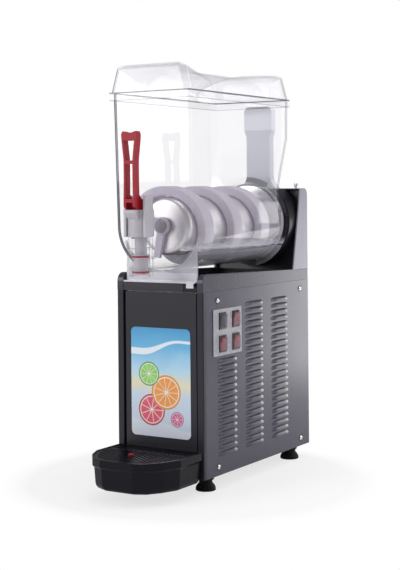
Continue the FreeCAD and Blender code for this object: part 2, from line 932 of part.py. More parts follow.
def make_tower_cover():
    """The sheet cover of the tower: two sides, back and top, with a lip along each slanted front edge."""
    outer = tower_profile(0, 0).extrude(Vector(cabinet_width, 0, 0))
    outer.translate(Vector(-half_width, 0, 0))
    hollow = tower_profile(tower_sheet, tower_sheet).extrude(Vector(cabinet_width - 2 * tower_sheet, 0, 0))
    hollow.translate(Vector(-half_width + tower_sheet, 0, 0))
    gap = tower_profile(-1, -tower_sheet).extrude(Vector(2 * (half_width - tower_lip), 0, 0))
    gap.translate(Vector(-half_width + tower_lip, 0, 0))
    front = box(-half_width, half_width, 0, cabinet_depth - tower_shoulder_depth + tower_sheet, 0, tower_top - tower_sheet)
    cover = outer.cut(hollow).cut(gap.common(front))
    knob_y = cabinet_depth - knob_rear_inset
    holes = [rod_z(knob_stem_radius + seat_gap, axis_z, tower_top + 10, knob_x, knob_y)]
    return cover.cut(Part.makeCompound(holes))


def make_tower_front():
    """The dark moulding that closes the tower's front and carries the drum: slanted wall, boss and foot."""
    side = half_width - tower_sheet - seat_gap
    foot_y = cabinet_depth - tower_foot_depth
    shoulder_y = cabinet_depth - tower_shoulder_depth
    low = deck_z
    step = deck_z + rail_end_height
    shoulder_z = deck_z + tower_shoulder_height
    top = tower_top - tower_sheet - seat_gap
    back = tower_front_setback
    wall = tower_front_wall
    slant = [
        (foot_y + back, low), (foot_y + back + wall, low), (foot_y + back + wall, step),
        (shoulder_y + back + wall, shoulder_z), (shoulder_y + back + wall, top),
        (shoulder_y + back, top), (shoulder_y + back, shoulder_z), (foot_y + back, step),
    ]
    plate = plate_yz(slant, -side, side)
    narrow = rail_inner - seat_gap
    below = box(-half_width, -narrow, 0, cabinet_depth, 0, step)
    plate = plate.cut(below).cut(mirrored(below))
    hollow = rod_y(boss_radius - boss_wall, drum_flange_rear + wall, cabinet_depth)
    boss = rod_y(boss_radius, drum_flange_rear, shoulder_y + back)
    behind = plate_yz([(foot_y + back + wall, low), (cabinet_depth, low), (cabinet_depth, top),
                       (shoulder_y + back + wall, top), (shoulder_y + back + wall, shoulder_z),
                       (foot_y + back + wall, step)], -half_width, half_width)
    above = box(-half_width, half_width, 0, cabinet_depth, top, bowl_rim_z)
    front = joined([plate, boss.cut(behind)]).cut(hollow).cut(above)
    holes = [rod_y(gearmotor_nose_radius + 2.0, 0, cabinet_depth)]
    for sign in (-1, 1):
        holes.append(rod_y(pipe_radius + 1.0, 0, cabinet_depth, sign * pipe_x, axis_z - pipe_drop))
    return front.cut(Part.makeCompound(holes))


def make_consistency_knob():
    """The knurled knob on the tower with its collar and threaded stem."""
    y = cabinet_depth - knob_rear_inset
    collar_top = tower_top + knob_collar_height
    collar = rod_z(knob_stem_radius + 1.0, tower_top + seat_gap, collar_top, knob_x, y)
    head = rod_z(knob_radius, collar_top, collar_top + knob_height, knob_x, y)
    stem = rod_z(knob_stem_radius, tower_top - knob_stem_length, collar_top, knob_x, y)
    return joined([collar, head, stem])


def make_consistency_nut():
    """The square nut under the tower's top, through which the knob's stem is screwed."""
    y = cabinet_depth - knob_rear_inset
    high = tower_top - knob_nut_drop
    half = knob_nut_width / 2
    nut = box(knob_x - half, knob_x + half, y - half, y + half, high - knob_nut_height, high)
    return nut.cut(rod_z(knob_stem_radius + 0.05, 0, bowl_rim_z, knob_x, y))


def column_outline(inset):
    """The light column's front outline as (x, z) points, drawn in by the inset."""
    foot = column_foot_half_width - inset
    waist = column_waist_half_width - inset
    head = column_head_half_width - inset
    base = column_base
    top = base + column_height - inset
    neck = base + column_height - column_head_height
    steps = 5
    right = [(foot, base)]
    for k in range(1, steps + 1):
        share = k / steps
        right.append((waist + (foot - waist) * (1 - share) ** 2, base + column_foot_height * share))
    right += [(waist, neck), (head, neck + column_shoulder), (head, top - column_crown), (head - column_crown, top)]
    return right + [(-x, z) for x, z in reversed(right)]


def make_light_column():
    """The milky column behind the bowl: a hollow cover that stands on the tower."""
    rear = cabinet_depth - column_rear_inset
    front = rear - column_depth
    outer = plate_xz(column_outline(0), front, rear)
    inner = plate_xz(column_outline(column_wall), front + column_wall, rear - column_wall)
    return outer.cut(inner)


def make_lamp_board():
    """The strip of lamps inside the light column."""
    rear = cabinet_depth - column_rear_inset - column_wall
    return box(-lamp_board_half_width, lamp_board_half_width, rear - lamp_board_sheet, rear,
               column_base, column_base + lamp_board_height)


# Drum, flange, seal and drive

def make_drum():
    """The stainless evaporator drum: a thin-walled can with a sleeve for the shaft."""
    outer = rod_y(drum_radius, drum_front, drum_rear)
    front_edges = [e for e in outer.Edges if abs(e.CenterOfMass.y - drum_front) < 0.01]
    outer = outer.makeFillet(drum_edge_radius, front_edges)
    hollow = rod_y(drum_radius - drum_wall, drum_front + drum_wall, drum_rear - drum_wall)
    sleeve = rod_y(shaft_radius + shaft_sleeve_wall, drum_front, drum_rear)
    bore = rod_y(shaft_radius + seat_gap, drum_front - 1, drum_rear + 1)
    return joined([outer.cut(hollow), sleeve]).cut(bore)


def make_drum_flange():
    """The ring behind the drum that the gasket seats on, bolted to the tower."""
    ring = rod_y(drum_flange_radius, drum_rear, drum_flange_rear)
    return ring.cut(rod_y(shaft_radius + seat_gap, 0, cabinet_depth))


def make_gasket():
    """The rubber ring between the bowl's neck and the drum's flange."""
    outer = rod_y(drum_flange_radius + gasket_thickness, gasket_front, gasket_front + gasket_length)
    return outer.cut(rod_y(drum_flange_radius, 0, cabinet_depth))


def make_shaft():
    """The drive shaft from the gear motor through the drum."""
    return rod_y(shaft_radius, shaft_front, shaft_rear)


def make_shaft_seal():
    """The seal in front of the drum around the shaft."""
    ring = rod_y(seal_radius, drum_front - seal_thickness, drum_front)
    return ring.cut(rod_y(shaft_radius + seat_gap, 0, cabinet_depth))


def auger_advance(turned_angle):
    """How far back the spiral's front edge lies after it has turned by the given angle."""
    return auger_front + auger_pitch * max(0.0, turned_angle - auger_lead_in) / 360.0


def make_auger():
    """The spiral: a wide band wound about the drum, with a hub and arms at its front end."""
    inner = drum_radius + auger_drum_gap
    last_front = drum_rear - auger_rear_gap - auger_band
    total = auger_lead_in + (last_front - auger_front) / auger_pitch * 360.0
    steps = int(total / auger_step)
    sections = []
    for k in range(steps + 1):
        angle = k * auger_step
        y = auger_advance(angle)
        turn = math.radians(auger_start_angle - angle)
        corners = []
        for radius, along in ((inner, 0), (auger_radius, 0), (auger_radius, auger_band), (inner, auger_band)):
            corners.append(Vector(radius * math.cos(turn), y + along, axis_z + radius * math.sin(turn)))
        sections.append(Part.makePolygon(corners + corners[:1]))
    spiral = Part.makeLoft(sections, True, True)
    hub_rear = auger_hub_front + auger_arm_thickness + 2.0
    pieces = [spiral, rod_y(auger_hub_radius, auger_hub_front, hub_rear)]
    for angle in auger_arm_angles:
        half = auger_arm_width / 2
        arm = box(0, inner + 2.0, auger_hub_front + 2.0, auger_hub_front + 2.0 + auger_arm_thickness,
                  axis_z - half, axis_z + half)
        arm.rotate(Vector(0, 0, axis_z), Vector(0, 1, 0), -angle)
        pieces.append(arm)
    return joined(pieces).cut(rod_y(shaft_radius, 0, cabinet_depth))


def make_auger_nut():
    """The domed nut that holds the auger on its shaft."""
    ball = (nut_radius ** 2 + nut_dome ** 2) / (2 * nut_dome)
    sphere = Part.makeSphere(ball, Vector(0, auger_hub_front - nut_dome + ball, axis_z))
    dome = sphere.common(rod_y(nut_radius, auger_hub_front - nut_dome, auger_hub_front))
    return dome.cut(rod_y(shaft_radius, shaft_front, cabinet_depth))


# Bowl and lid

def bowl_section(height, inset):
    """The hopper's rounded outline at a height above the deck."""
    share = (height - axis_rise) / (bowl_rim_height - axis_rise)
    x = bowl_trough_radius + (bowl_rim_half_width - bowl_trough_radius) * share - inset
    front = bowl_front - bowl_front_lean * share + inset
    bulge = min(1.0, max(0.0, (height - bowl_bulge_low) / (bowl_bulge_high - bowl_bulge_low)))
    rear = bowl_rear + bowl_rear_bulge * bulge - inset
    points = [(-x, front), (x, front), (x, rear), (-x, rear)]
    return rounded_wire(points, [bowl_corner - inset] * 4, deck_z + height)


def bowl_form(inset, above):
    """The bowl's outer form, or its inside when it is drawn in by the wall: hopper, trough and neck."""
    levels = [axis_rise, bowl_bulge_low, bowl_bulge_high, bowl_rim_height + above]
    hopper = ruled([bowl_section(level, inset) for level in levels])
    trough = rod_y(bowl_trough_radius - inset, bowl_front + inset, bowl_neck_rear + above)
    edges = [e for e in trough.Edges if abs(e.CenterOfMass.y - bowl_front - inset) < 0.01]
    trough = trough.makeFillet(bowl_corner - inset, edges)
    return hopper.fuse(trough)


def make_skirt():
    """The flat plate and foot that stand the bowl's front on the trim."""
    bottom = trim_top + seat_gap
    plate = box(-skirt_half_width, skirt_half_width, skirt_back - bowl_wall, skirt_back, bottom, axis_z)
    foot = box(-skirt_half_width, skirt_half_width, skirt_foot_front, skirt_back, bottom, bottom + bowl_wall)
    tab = box(tab_start, tab_start + tab_width, skirt_foot_front, -seat_gap, bottom - tab_drop, bottom)
    trough = rod_y(bowl_trough_radius - bowl_wall / 2, bowl_front, cabinet_depth)
    return joined([plate, foot, tab]).cut(trough)


def make_rib():
    """The right-hand drip rib along the trough, which sweeps up to the rear flange."""
    z = deck_z + rib_height
    thick = bowl_wall
    rear = bowl_neck_rear - bowl_flange_sheet
    run = rear - rib_straight_end
    radius = (run ** 2 + rib_rise ** 2) / (2 * rib_rise)
    half_turn = math.asin(run / radius) / 2

    def swept(rise):
        start = Vector(0, rib_straight_end, z + rise)
        middle = Vector(0, rib_straight_end + radius * math.sin(half_turn),
                        z + rise + radius * (1 - math.cos(half_turn)))
        end = Vector(0, rear, z + rise + rib_rise)
        return start, middle, end

    low_start, low_middle, low_end = swept(0)
    top_start, top_middle, top_end = swept(thick)
    front_low = Vector(0, skirt_back, z)
    front_top = Vector(0, skirt_back, z + thick)
    edges = [
        Part.LineSegment(front_low, low_start).toShape(),
        Part.Arc(low_start, low_middle, low_end).toShape(),
        Part.LineSegment(low_end, top_end).toShape(),
        Part.Arc(top_end, top_middle, top_start).toShape(),
        Part.LineSegment(top_start, front_top).toShape(),
        Part.LineSegment(front_top, front_low).toShape(),
    ]
    rib = Part.Face(Part.Wire(edges)).extrude(Vector(bowl_trough_radius + rib_reach, 0, 0))
    trough = rod_y(bowl_trough_radius - bowl_wall / 2, bowl_front, cabinet_depth)
    return rib.cut(trough)


def make_bowl():
    """The clear bowl in one moulding: hopper, trough, neck, skirt, ribs, port and tap tube."""
    top = deck_z + tap_tube_top
    low = deck_z + tap_tube_bottom
    port_z = deck_z + port_rise
    tube = rod_z(tap_tube_radius, low, top, 0, tap_axis_y)
    duct = rod_y(port_radius + port_wall, tap_axis_y, bowl_front + bowl_wall, 0, port_z)
    flange = rod_y(bowl_flange_radius, bowl_neck_rear - bowl_flange_sheet, bowl_neck_rear)
    rib = make_rib()
    solid = joined([bowl_form(0, 0), flange, make_skirt(), rib, mirrored(rib), tube, duct])
    solid = solid.cut(bowl_form(bowl_wall, 5.0))
    bore = rod_z(tap_bore_radius, low - 5, top + 5, 0, tap_axis_y)
    port = rod_y(port_radius, tap_axis_y, bowl_front + 2 * bowl_wall, 0, port_z)
    cuts = [bore, port]
    for k in range(tap_notches):
        notch = box(0, 2 * tap_tube_radius, tap_axis_y - tap_notch_width / 2, tap_axis_y + tap_notch_width / 2,
                    low - 1, low + tap_notch_height)
        notch.rotate(Vector(0, tap_axis_y, 0), Vector(0, 0, 1), 360.0 * k / tap_notches)
        cuts.append(notch)
    return solid.cut(Part.makeCompound(cuts))


def lid_level(rise, inset):
    """The rounded outline of the lid's crown at a height above its flange."""
    straight = lid_crown_height - lid_crown_round
    climbed = min(rise, straight) / straight
    over = max(0.0, rise - straight) / lid_crown_round
    shrink = lid_crown_margin + lid_crown_round * (1 - math.sqrt(1 - over ** 2)) + inset
    x = lid_half_width - shrink - lid_crown_side_lean * climbed
    front = lid_front + shrink + lid_crown_end_lean * climbed
    rear = lid_rear - shrink - lid_crown_end_lean * climbed
    points = [(-x, front), (x, front), (x, rear), (-x, rear)]
    return rounded_wire(points, [lid_crown_corner] * 4, lid_base() + rise - inset)


def lid_base():
    """The height of the underside of the lid's flange."""
    return bowl_rim_z + seat_gap


def lid_block(inset):
    """The lid's crown before its sides are scooped out: leaning walls under a rounded shoulder."""
    straight = lid_crown_height - lid_crown_round
    rises = [0, straight]
    for k in range(1, lid_crown_levels + 1):
        rises.append(straight + lid_crown_round * math.sin(math.radians(80.0 * k / lid_crown_levels)))
    return ruled([lid_level(rise, inset) for rise in rises])


def lid_vault(inset):
    """The arched vault between the humps: a half ellipse that widens towards both ends."""
    middle = (lid_front + lid_rear) / 2
    half_length = (lid_rear - lid_front) / 2
    sections = []
    for k in range(lid_vault_sections + 1):
        offset = 2.0 * k / lid_vault_sections - 1
        spread = max(0.0, abs(offset) - lid_vault_straight) / (1 - lid_vault_straight)
        y = middle + offset * half_length
        x = lid_half_width - lid_vault_margin + lid_vault_spread * spread ** lid_vault_spread_power - inset
        height = lid_vault_height + lid_vault_rise * spread ** lid_vault_rise_power + lid_wall - inset
        z = lid_base() - lid_wall
        arch = Part.Ellipse(Vector(x, y, z), Vector(0, y, z + height), Vector(0, y, z))
        top = Part.ArcOfEllipse(arch, 0, math.pi).toShape()
        floor = Part.LineSegment(Vector(-x, y, z), Vector(x, y, z)).toShape()
        sections.append(Part.Wire([top, floor]))
    return ruled(sections)


def lid_crown_solid(inset):
    """The lid's crown: the block, scooped out along both sides by the vault."""
    return lid_block(inset).common(lid_vault(inset))


def make_lid():
    """The clear lid: a flat flange with a skirt, under a crown with two humps."""
    under = lid_base()
    top = under + lid_wall
    flange = box(-lid_half_width, lid_half_width, lid_front, lid_rear, top - lid_skirt, top)
    flange = flange.makeFillet(lid_corner, upright_edges(flange))
    inner = box(-lid_half_width + lid_wall, lid_half_width - lid_wall, lid_front + lid_wall, lid_rear - lid_wall,
                top - lid_skirt, under)
    inner = inner.makeFillet(lid_corner - lid_wall, upright_edges(inner))
    return joined([flange.cut(inner), lid_crown_solid(0)]).cut(lid_crown_solid(lid_wall))


# Tap

def make_tap_body():
    """The white head of the tap: a capped sleeve with a nose, two ears and a block towards the bowl."""
    low = deck_z + tap_tube_top + seat_gap
    top = deck_z + tap_body_top
    body = rod_z(tap_body_radius, low, top, 0, tap_axis_y)
    nose = plate_yz([(tap_axis_y, top), (tap_nose_front, top), (tap_nose_front, top - tap_nose_edge),
                     (tap_axis_y - tap_body_radius, top - tap_nose_fall), (tap_axis_y, top - tap_nose_fall)],
                    -tap_nose_half_width, tap_nose_half_width)
    ear = box(tap_ear_inner, tap_ear_outer, tap_ear_front, tap_ear_rear, low, deck_z + tap_ear_top)
    block = box(-tap_block_half_width, tap_block_half_width, tap_axis_y + tap_bore_radius, tap_block_rear,
                low, top)
    bore = rod_z(tap_bore_radius, low - 1, top - tap_cap, 0, tap_axis_y)
    hole = rod_z(piston_rod_radius + running_gap, top - tap_cap - 1, top + 1, 0, tap_axis_y)
    return joined([body, nose, ear, mirrored(ear), block]).cut(bore).cut(hole)


def make_tap_piston():
    """The white piston: body with two grooved lands, and a rod with a flat eye for the pin."""
    low = deck_z + piston_bottom
    top = deck_z + piston_top
    land = piston_land_reach * ring_section
    pieces = [rod_z(piston_radius, low, deck_z + ring_high, 0, tap_axis_y),
              rod_z(piston_neck_radius, deck_z + ring_high, top, 0, tap_axis_y)]
    for level in (ring_low, ring_high):
        z = deck_z + level
        pieces.append(rod_z(piston_land_radius, z - land, z + land, 0, tap_axis_y))
    pieces.append(rod_z(piston_land_radius, top - piston_cap, top, 0, tap_axis_y))
    rod_top = deck_z + pivot_rise
    pieces.append(rod_z(piston_rod_radius, top, rod_top, 0, tap_axis_y))
    eye = rod_x(piston_rod_radius + piston_eye_wall, -piston_rod_radius, piston_rod_radius, tap_axis_y, rod_top)
    solid = joined(pieces + [eye])
    cuts = [rod_x(pivot_pin_radius + 0.1, -half_width, half_width, tap_axis_y, rod_top)]
    for level in (ring_low, ring_high):
        z = deck_z + level
        groove = rod_z(piston_land_radius + 1, z - ring_section, z + ring_section, 0, tap_axis_y)
        core = rod_z(tap_bore_radius - ring_gap - 2 * ring_section, 0, bowl_rim_z, 0, tap_axis_y)
        cuts.append(groove.cut(core))
    return solid.cut(Part.makeCompound(cuts))


def make_tap_rings():
    """The two red sealing rings on the piston."""
    rings = []
    outer = tap_bore_radius - ring_gap
    for level in (ring_low, ring_high):
        z = deck_z + level
        ring = Part.makeTorus(outer - ring_section, ring_section, Vector(0, tap_axis_y, z))
        rings.append(ring)
    return Part.makeCompound(rings)


def arc_between(start, corner, end):
    """An arc from start to end whose tangents meet at the corner, which is as far from both."""
    middle = (start + end) / 2
    half_chord = (end - start).Length / 2
    rise = (corner - middle).Length
    sagitta = half_chord * math.tan(math.atan2(rise, half_chord) / 2)
    return Part.Arc(start, middle + (corner - middle) * (sagitta / rise), end).toShape()


def helix_point(turn, radius, pitch):
    """A point of a rising helix and its direction there, after a number of turns."""
    angle = 2 * math.pi * turn
    point = Vector(radius * math.cos(angle), radius * math.sin(angle), pitch * turn)
    ahead = Vector(-radius * math.sin(angle), radius * math.cos(angle), pitch / (2 * math.pi))
    return point, ahead.normalize()


def helix_path(radius, pitch, turns):
    """A helix as a chain of tangent arcs, two to each quarter turn."""
    edges = []
    for k in range(4 * turns):
        start, leaving = helix_point(k / 4, radius, pitch)
        end, arriving = helix_point((k + 1) / 4, radius, pitch)
        across = end - start
        along = across.dot(leaving + arriving)
        bend = 2 * (1 - leaving.dot(arriving))
        reach = (math.sqrt(along ** 2 + bend * across.Length ** 2) - along) / bend
        first = start + leaving * reach
        last = end - arriving * reach
        meeting = (first + last) / 2
        edges.append(arc_between(start, first, meeting))
        edges.append(arc_between(meeting, last, end))
    return Part.Wire(edges)


def least_self_gap(points, skip, diameter):
    """The least distance between a wire's turns, from points along its path."""
    least = min((points[i] - points[j]).Length
                for i in range(len(points)) for j in range(i + skip, len(points)))
    return least - diameter


def make_tap_spring():
    """The return spring inside the tap's head, one unbroken wire about the piston's rod."""
    low = deck_z + piston_top + spring_wire + spring_seat
    high = deck_z + tap_body_top - tap_cap - spring_wire - spring_seat
    pitch = (high - low) / spring_turns
    path = helix_path(spring_radius, pitch, spring_turns)
    start, leaving = helix_point(0, spring_radius, pitch)
    ring = Part.Wire(Part.makeCircle(spring_wire, start, leaving))
    wire = path.makePipeShell([ring], True, False)
    per_turn = 24
    points = [helix_point(k / per_turn, spring_radius, pitch)[0] for k in range(per_turn * spring_turns + 1)]
    print("spring: least gap between turns %.2f mm, volume %.1f against %.1f mm3" % (
        least_self_gap(points, per_turn // 2, 2 * spring_wire), wire.Volume,
        math.pi * spring_wire ** 2 * path.Length))
    wire.translate(Vector(0, tap_axis_y, low))
    return wire


def make_tap_pin():
    """The pin that joins the handle to the piston."""
    reach = handle_foot_half_width
    return rod_x(pivot_pin_radius, -reach, reach, tap_axis_y, deck_z + pivot_rise)


def make_tap_handle():
    """The red pull handle: an open two-legged lever on a fork of two cheeks."""
    front = tap_axis_y - handle_front_offset
    back = front + handle_thickness
    rear = tap_axis_y + handle_cam_rear
    top = deck_z + handle_top
    window_top = deck_z + handle_window_top
    bar_top = deck_z + handle_bar_top
    bar_bottom = deck_z + handle_bar_bottom
    cheek_top = deck_z + handle_cheek_top
    waist_low = cheek_top + handle_shoulder_rise
    foot_z = deck_z + tap_body_top + seat_gap
    head, waist, foot = handle_head_half_width, handle_waist_half_width, handle_foot_half_width
    leg = handle_leg
    shoulder = head - handle_shoulder_in
    right = [(foot, foot_z), (foot, cheek_top), (waist, waist_low), (waist, bar_top),
             (shoulder, window_top), (head, top - handle_crown_fall), (head - handle_crown_in, top),
             (handle_crown_fall, top - handle_crown_dip)]
    outline = right + [(-x, z) for x, z in reversed(right)]
    panel = plate_xz(outline, front, back)
    upper = [(waist - leg, bar_top), (shoulder - leg, window_top),
             (-shoulder + leg, window_top), (-waist + leg, bar_top)]
    lower = [(waist - leg, bar_bottom), (-waist + leg, bar_bottom), (-waist + leg, waist_low),
             (-foot + leg, cheek_top), (foot - leg, cheek_top), (waist - leg, waist_low)]
    panel = panel.cut(plate_xz(upper, front - 1, back + 1)).cut(plate_xz(lower, front - 1, back + 1))
    nose = handle_cheek_nose
    fillet = handle_fillet
    cheek = [(back - 1, foot_z), (rear, foot_z), (rear, cheek_top - nose), (rear - nose, cheek_top),
             (back + fillet, cheek_top), (back, cheek_top + fillet), (back - 1, cheek_top + fillet)]
    inner = foot - handle_cheek_thickness
    right_cheek = plate_yz(cheek, inner, foot)
    under = box(-inner, inner, front - 1, back, foot_z - 1, deck_z + handle_bridge_bottom)
    toe = plate_yz([(front - 1, foot_z - 1), (front + handle_toe_length, foot_z - 1),
                    (front + handle_toe_length, foot_z), (front, foot_z + handle_toe_height),
                    (front - 1, foot_z + handle_toe_height)], -half_width, half_width)
    handle = joined([panel, right_cheek, mirrored(right_cheek)]).cut(under).cut(toe)
    pivot_z = deck_z + pivot_rise
    return handle.cut(rod_x(pivot_pin_radius, -half_width, half_width, tap_axis_y, pivot_z))


# Drip tray

def tray_outline(inset, front_inset, z):
    """The tray's outline at a height, drawn in at the sides and at the nose."""
    width_share = (tray_half_width - inset) / tray_half_width
    length_share = (tray_reach - front_inset) / tray_reach
    rear = -tray_gap - min(inset, tray_wall)
    front_right = [
        (tray_half_width, tray_side_length), (tray_cheek_half_width, tray_cheek_length),
        (tray_shoulder_half_width, tray_shoulder_length), (tray_nose_half_width, tray_reach),
    ]
    right = [(tray_half_width * width_share, rear)]
    right += [(x * width_share, -reach * length_share) for x, reach in front_right]
    left = [(-x, y) for x, y in reversed(right)]
    corners = [tray_rear_corner] + [tray_corner] * (2 * len(front_right)) + [tray_rear_corner]
    return rounded_wire(right + left, corners, z)


def tray_tub(low, high, inset, round_radius):
    """The tub's form between two heights: slightly tapered walls on a rounded bottom edge."""
    sections = []
    for k in range(tray_round_steps + 1):
        angle = math.radians(90.0 * k / tray_round_steps)
        rise = round_radius * (1 - math.cos(angle))
        share = 1 - rise / (high - low)
        drawn_in = inset + tray_taper * share + round_radius * (1 - math.sin(angle))
        sections.append(tray_outline(drawn_in, drawn_in, low + rise))
    sections.append(tray_outline(inset, inset, high))
    return ruled(sections)


def make_drip_tray():
    """The drip tray: a tub with a rounded bottom edge, a proud rim and a ledge for the grille."""
    neck = tray_top - tray_rim_height
    rim = ruled([tray_outline(tray_rim_lip, tray_rim_lip, neck - tray_rim_slope),
                 tray_outline(0, 0, neck), tray_outline(0, 0, tray_top)])
    tub = tray_tub(tray_bottom, neck + 1, tray_rim_lip, tray_bottom_round)
    ledge_z = tray_top - grille_thickness - 1.0
    ledge_inset = tray_rim_lip + tray_ledge
    inside = tray_tub(tray_bottom + tray_wall, ledge_z + 1, ledge_inset, tray_bottom_round - tray_wall)
    well = ruled([tray_outline(tray_rim_lip, tray_rim_lip, ledge_z),
                  tray_outline(tray_rim_lip, tray_rim_lip, tray_top + 1)])
    return joined([rim, tub]).cut(inside).cut(well)


def make_tray_grille():
    """The grille in the tray, slotted from front to back, with a toothed rear edge and the float's hole."""
    low = tray_top - grille_thickness - 1.0 + seat_gap / 3
    high = low + grille_thickness
    inset = tray_rim_lip + tray_gap
    plate = ruled([tray_outline(inset, inset, low), tray_outline(inset, inset, high)])
    edge = tray_rim_lip + grille_edge
    field = ruled([tray_outline(edge, edge, low - 1), tray_outline(edge, edge, high + 1)])
    bars = []
    count = int((tray_half_width - edge) / grille_slot_pitch)
    half = grille_slot_width / 2
    middle = -tray_side_length * grille_bar_share
    bar = grille_bar_half_width
    for k in range(-count, count + 1):
        x = k * grille_slot_pitch
        bars.append(box(x - half, x + half, -tray_reach, middle - bar, low - 1, high + 1))
        bars.append(box(x - half, x + half, middle + bar, 0, low - 1, high + 1))
    slots = Part.makeCompound(bars).common(field)
    teeth = [box(k * grille_slot_pitch - half, k * grille_slot_pitch + half, -edge, 0, low + grille_tooth_floor, high + 1)
             for k in range(-count, count + 1)]
    land = rod_z(float_button_radius + float_land, low, high, float_x, float_y)
    grille = plate.cut(slots).cut(Part.makeCompound(teeth)).fuse(land)
    return grille.cut(rod_z(float_stem_radius + running_gap, low - 1, high + 1, float_x, float_y))


def make_tray_float():
    """The red float that rises through the grille when the tray is full."""
    button_low = tray_top - 1.0 + seat_gap
    disc_high = float_disc_bottom + float_disc_height
    disc = rod_z(float_disc_radius, float_disc_bottom, disc_high, float_x, float_y)
    stem = rod_z(float_stem_radius, disc_high, button_low, float_x, float_y)
    button = rod_z(float_button_radius, button_low, button_low + float_button_height, float_x, float_y)
    top_edges = [e for e in button.Edges if abs(e.CenterOfMass.z - button_low - float_button_height) < 0.01]
    return joined([disc, stem, button.makeFillet(1.5, top_edges)])


def make_tray_bracket():
    """The folded bracket under the cabinet's front that the tray stands on."""
    w = bracket_half_width
    under = tray_bottom - seat_gap
    shelf = box(-w, w, -bracket_reach, post_depth + bracket_sheet, under - bracket_sheet, under)
    riser = box(-w, w, post_depth, post_depth + bracket_sheet, under, foot_height)
    foot = box(-w, w, post_depth, post_depth + bracket_foot, foot_height - bracket_sheet, foot_height)
    return joined([shelf, riser, foot])


# Refrigeration

def make_condenser():
    """The finned condenser: plates on tubes between two end plates."""
    low = base_z
    high = base_z + condenser_height
    front, rear = condenser_front, condenser_front + condenser_depth
    w = condenser_half_width
    pieces = []
    for k in range(condenser_fins + 1):
        x = -w + 2 * w * k / condenser_fins
        end = k in (0, condenser_fins)
        t = 2 * condenser_fin_sheet if end else condenser_fin_sheet
        pieces.append(box(x - t / 2, x + t / 2, front, rear, low if end else low + 6, high))
    rows = 5
    for k in range(rows):
        z = low + (k + 0.5) * condenser_height / rows
        pieces.append(rod_x(condenser_tube_radius, -w, w, (front + rear) / 2, z))
    return joined(pieces)


def fan_axis_z():
    """The height of the fan's axis."""
    return base_z + condenser_height / 2


def make_fan_shroud():
    """The square shroud behind the condenser with its round air opening."""
    front = condenser_front + condenser_depth
    rear = front + shroud_depth
    w = condenser_half_width
    z = fan_axis_z()
    outer = box(-w, w, front, rear, base_z, base_z + condenser_height)
    hollow = box(-w + 2, w - 2, front, rear - 2, base_z + 2, base_z + condenser_height - 2)
    hole = rod_y(fan_radius + fan_tip_gap, front, rear + 1, 0, z)
    arm = box(-4, 4, rear - 2, rear, z - fan_radius - 2 * fan_tip_gap, z + fan_radius + 2 * fan_tip_gap)
    return outer.cut(hollow).cut(hole).fuse(arm)


def make_fan_motor():
    """The fan's motor, on the shroud's cross arm."""
    front = condenser_front + condenser_depth + shroud_depth
    return rod_y(fan_motor_radius, front, front + fan_motor_length, 0, fan_axis_z())


def make_fan_blade():
    """The fan: a hub and pitched blades in front of the cross arm."""
    rear = condenser_front + condenser_depth + shroud_depth - 2 - running_gap
    front = rear - fan_hub_depth
    z = fan_axis_z()
    pieces = [rod_y(fan_hub_radius, front, rear, 0, z)]
    for k in range(fan_blades):
        blade = box(-fan_blade_half_width, fan_blade_half_width, -fan_blade_half_sheet, fan_blade_half_sheet,
                    fan_hub_radius - 2, fan_radius)
        blade.rotate(Vector(0, 0, 0), Vector(0, 0, 1), fan_blade_pitch)
        blade.rotate(Vector(0, 0, 0), Vector(0, 1, 0), 360.0 * k / fan_blades)
        blade.translate(Vector(0, (front + rear) / 2, z))
        pieces.append(blade)
    return joined(pieces)


def make_compressor():
    """The hermetic compressor: a domed can on a foot plate."""
    x, y = compressor_x, cabinet_depth - compressor_rear_inset
    low = base_z + compressor_rise
    can = rod_z(compressor_radius, low, low + compressor_height, x, y)
    can = can.makeFillet(compressor_dome, [e for e in can.Edges if len(e.Vertexes) == 1])
    plate = box(x - compressor_plate_x, x + compressor_plate_x, y - compressor_plate_y, y + compressor_plate_y,
                base_z, low + compressor_plate_sheet)
    under = box(x - compressor_plate_x + foot_radius / 2, x + compressor_plate_x - foot_radius / 2,
                y - compressor_plate_y, y + compressor_plate_y, base_z, low + compressor_plate_sheet / 2)
    plate = plate.cut(under)
    return joined([can, plate])


def make_gearmotor():
    """The gear motor in the tower that turns the shaft."""
    w, h = gearmotor_half_width, gearmotor_half_height
    case = box(-w, w, gearmotor_front, gearmotor_rear, axis_z - h, axis_z + h)
    nose = rod_y(gearmotor_nose_radius, gearmotor_nose_front, gearmotor_front)
    bore = rod_y(shaft_radius + 0.05, 0, shaft_rear + 0.5)
    return joined([case, nose]).cut(bore)


def make_pipe(sign, low):
    """One refrigerant pipe: up through the deck and forward to the drum's flange."""
    high = axis_z - pipe_drop
    x = sign * pipe_x
    bend = pipe_bend
    quarter = math.pi / 4
    start = Vector(x, pipe_y, low)
    first = Vector(x, pipe_y, high - bend)
    middle = Vector(x, pipe_y - bend + bend * math.cos(quarter), high - bend + bend * math.sin(quarter))
    last = Vector(x, pipe_y - bend, high)
    end = Vector(x, drum_flange_rear, high)
    path = Part.Wire([
        Part.LineSegment(start, first).toShape(),
        Part.Arc(first, middle, last).toShape(),
        Part.LineSegment(last, end).toShape(),
    ])
    ring = Part.Wire(Part.makeCircle(pipe_radius, start, Vector(0, 0, 1)))
    return path.makePipeShell([ring], True, False)


def make_pipes():
    """The suction and liquid pipes."""
    return Part.makeCompound([make_pipe(-1, base_z), make_pipe(1, base_z)])


def make_control_box():
    """The box with the thermostat and relay, hung from the deck."""
    right = -inner_half + frame_sheet + control_box_width
    top = deck_z - frame_sheet
    return box(right - control_box_width, right, control_box_start, control_box_start + control_box_length,
               top - control_box_height, top)


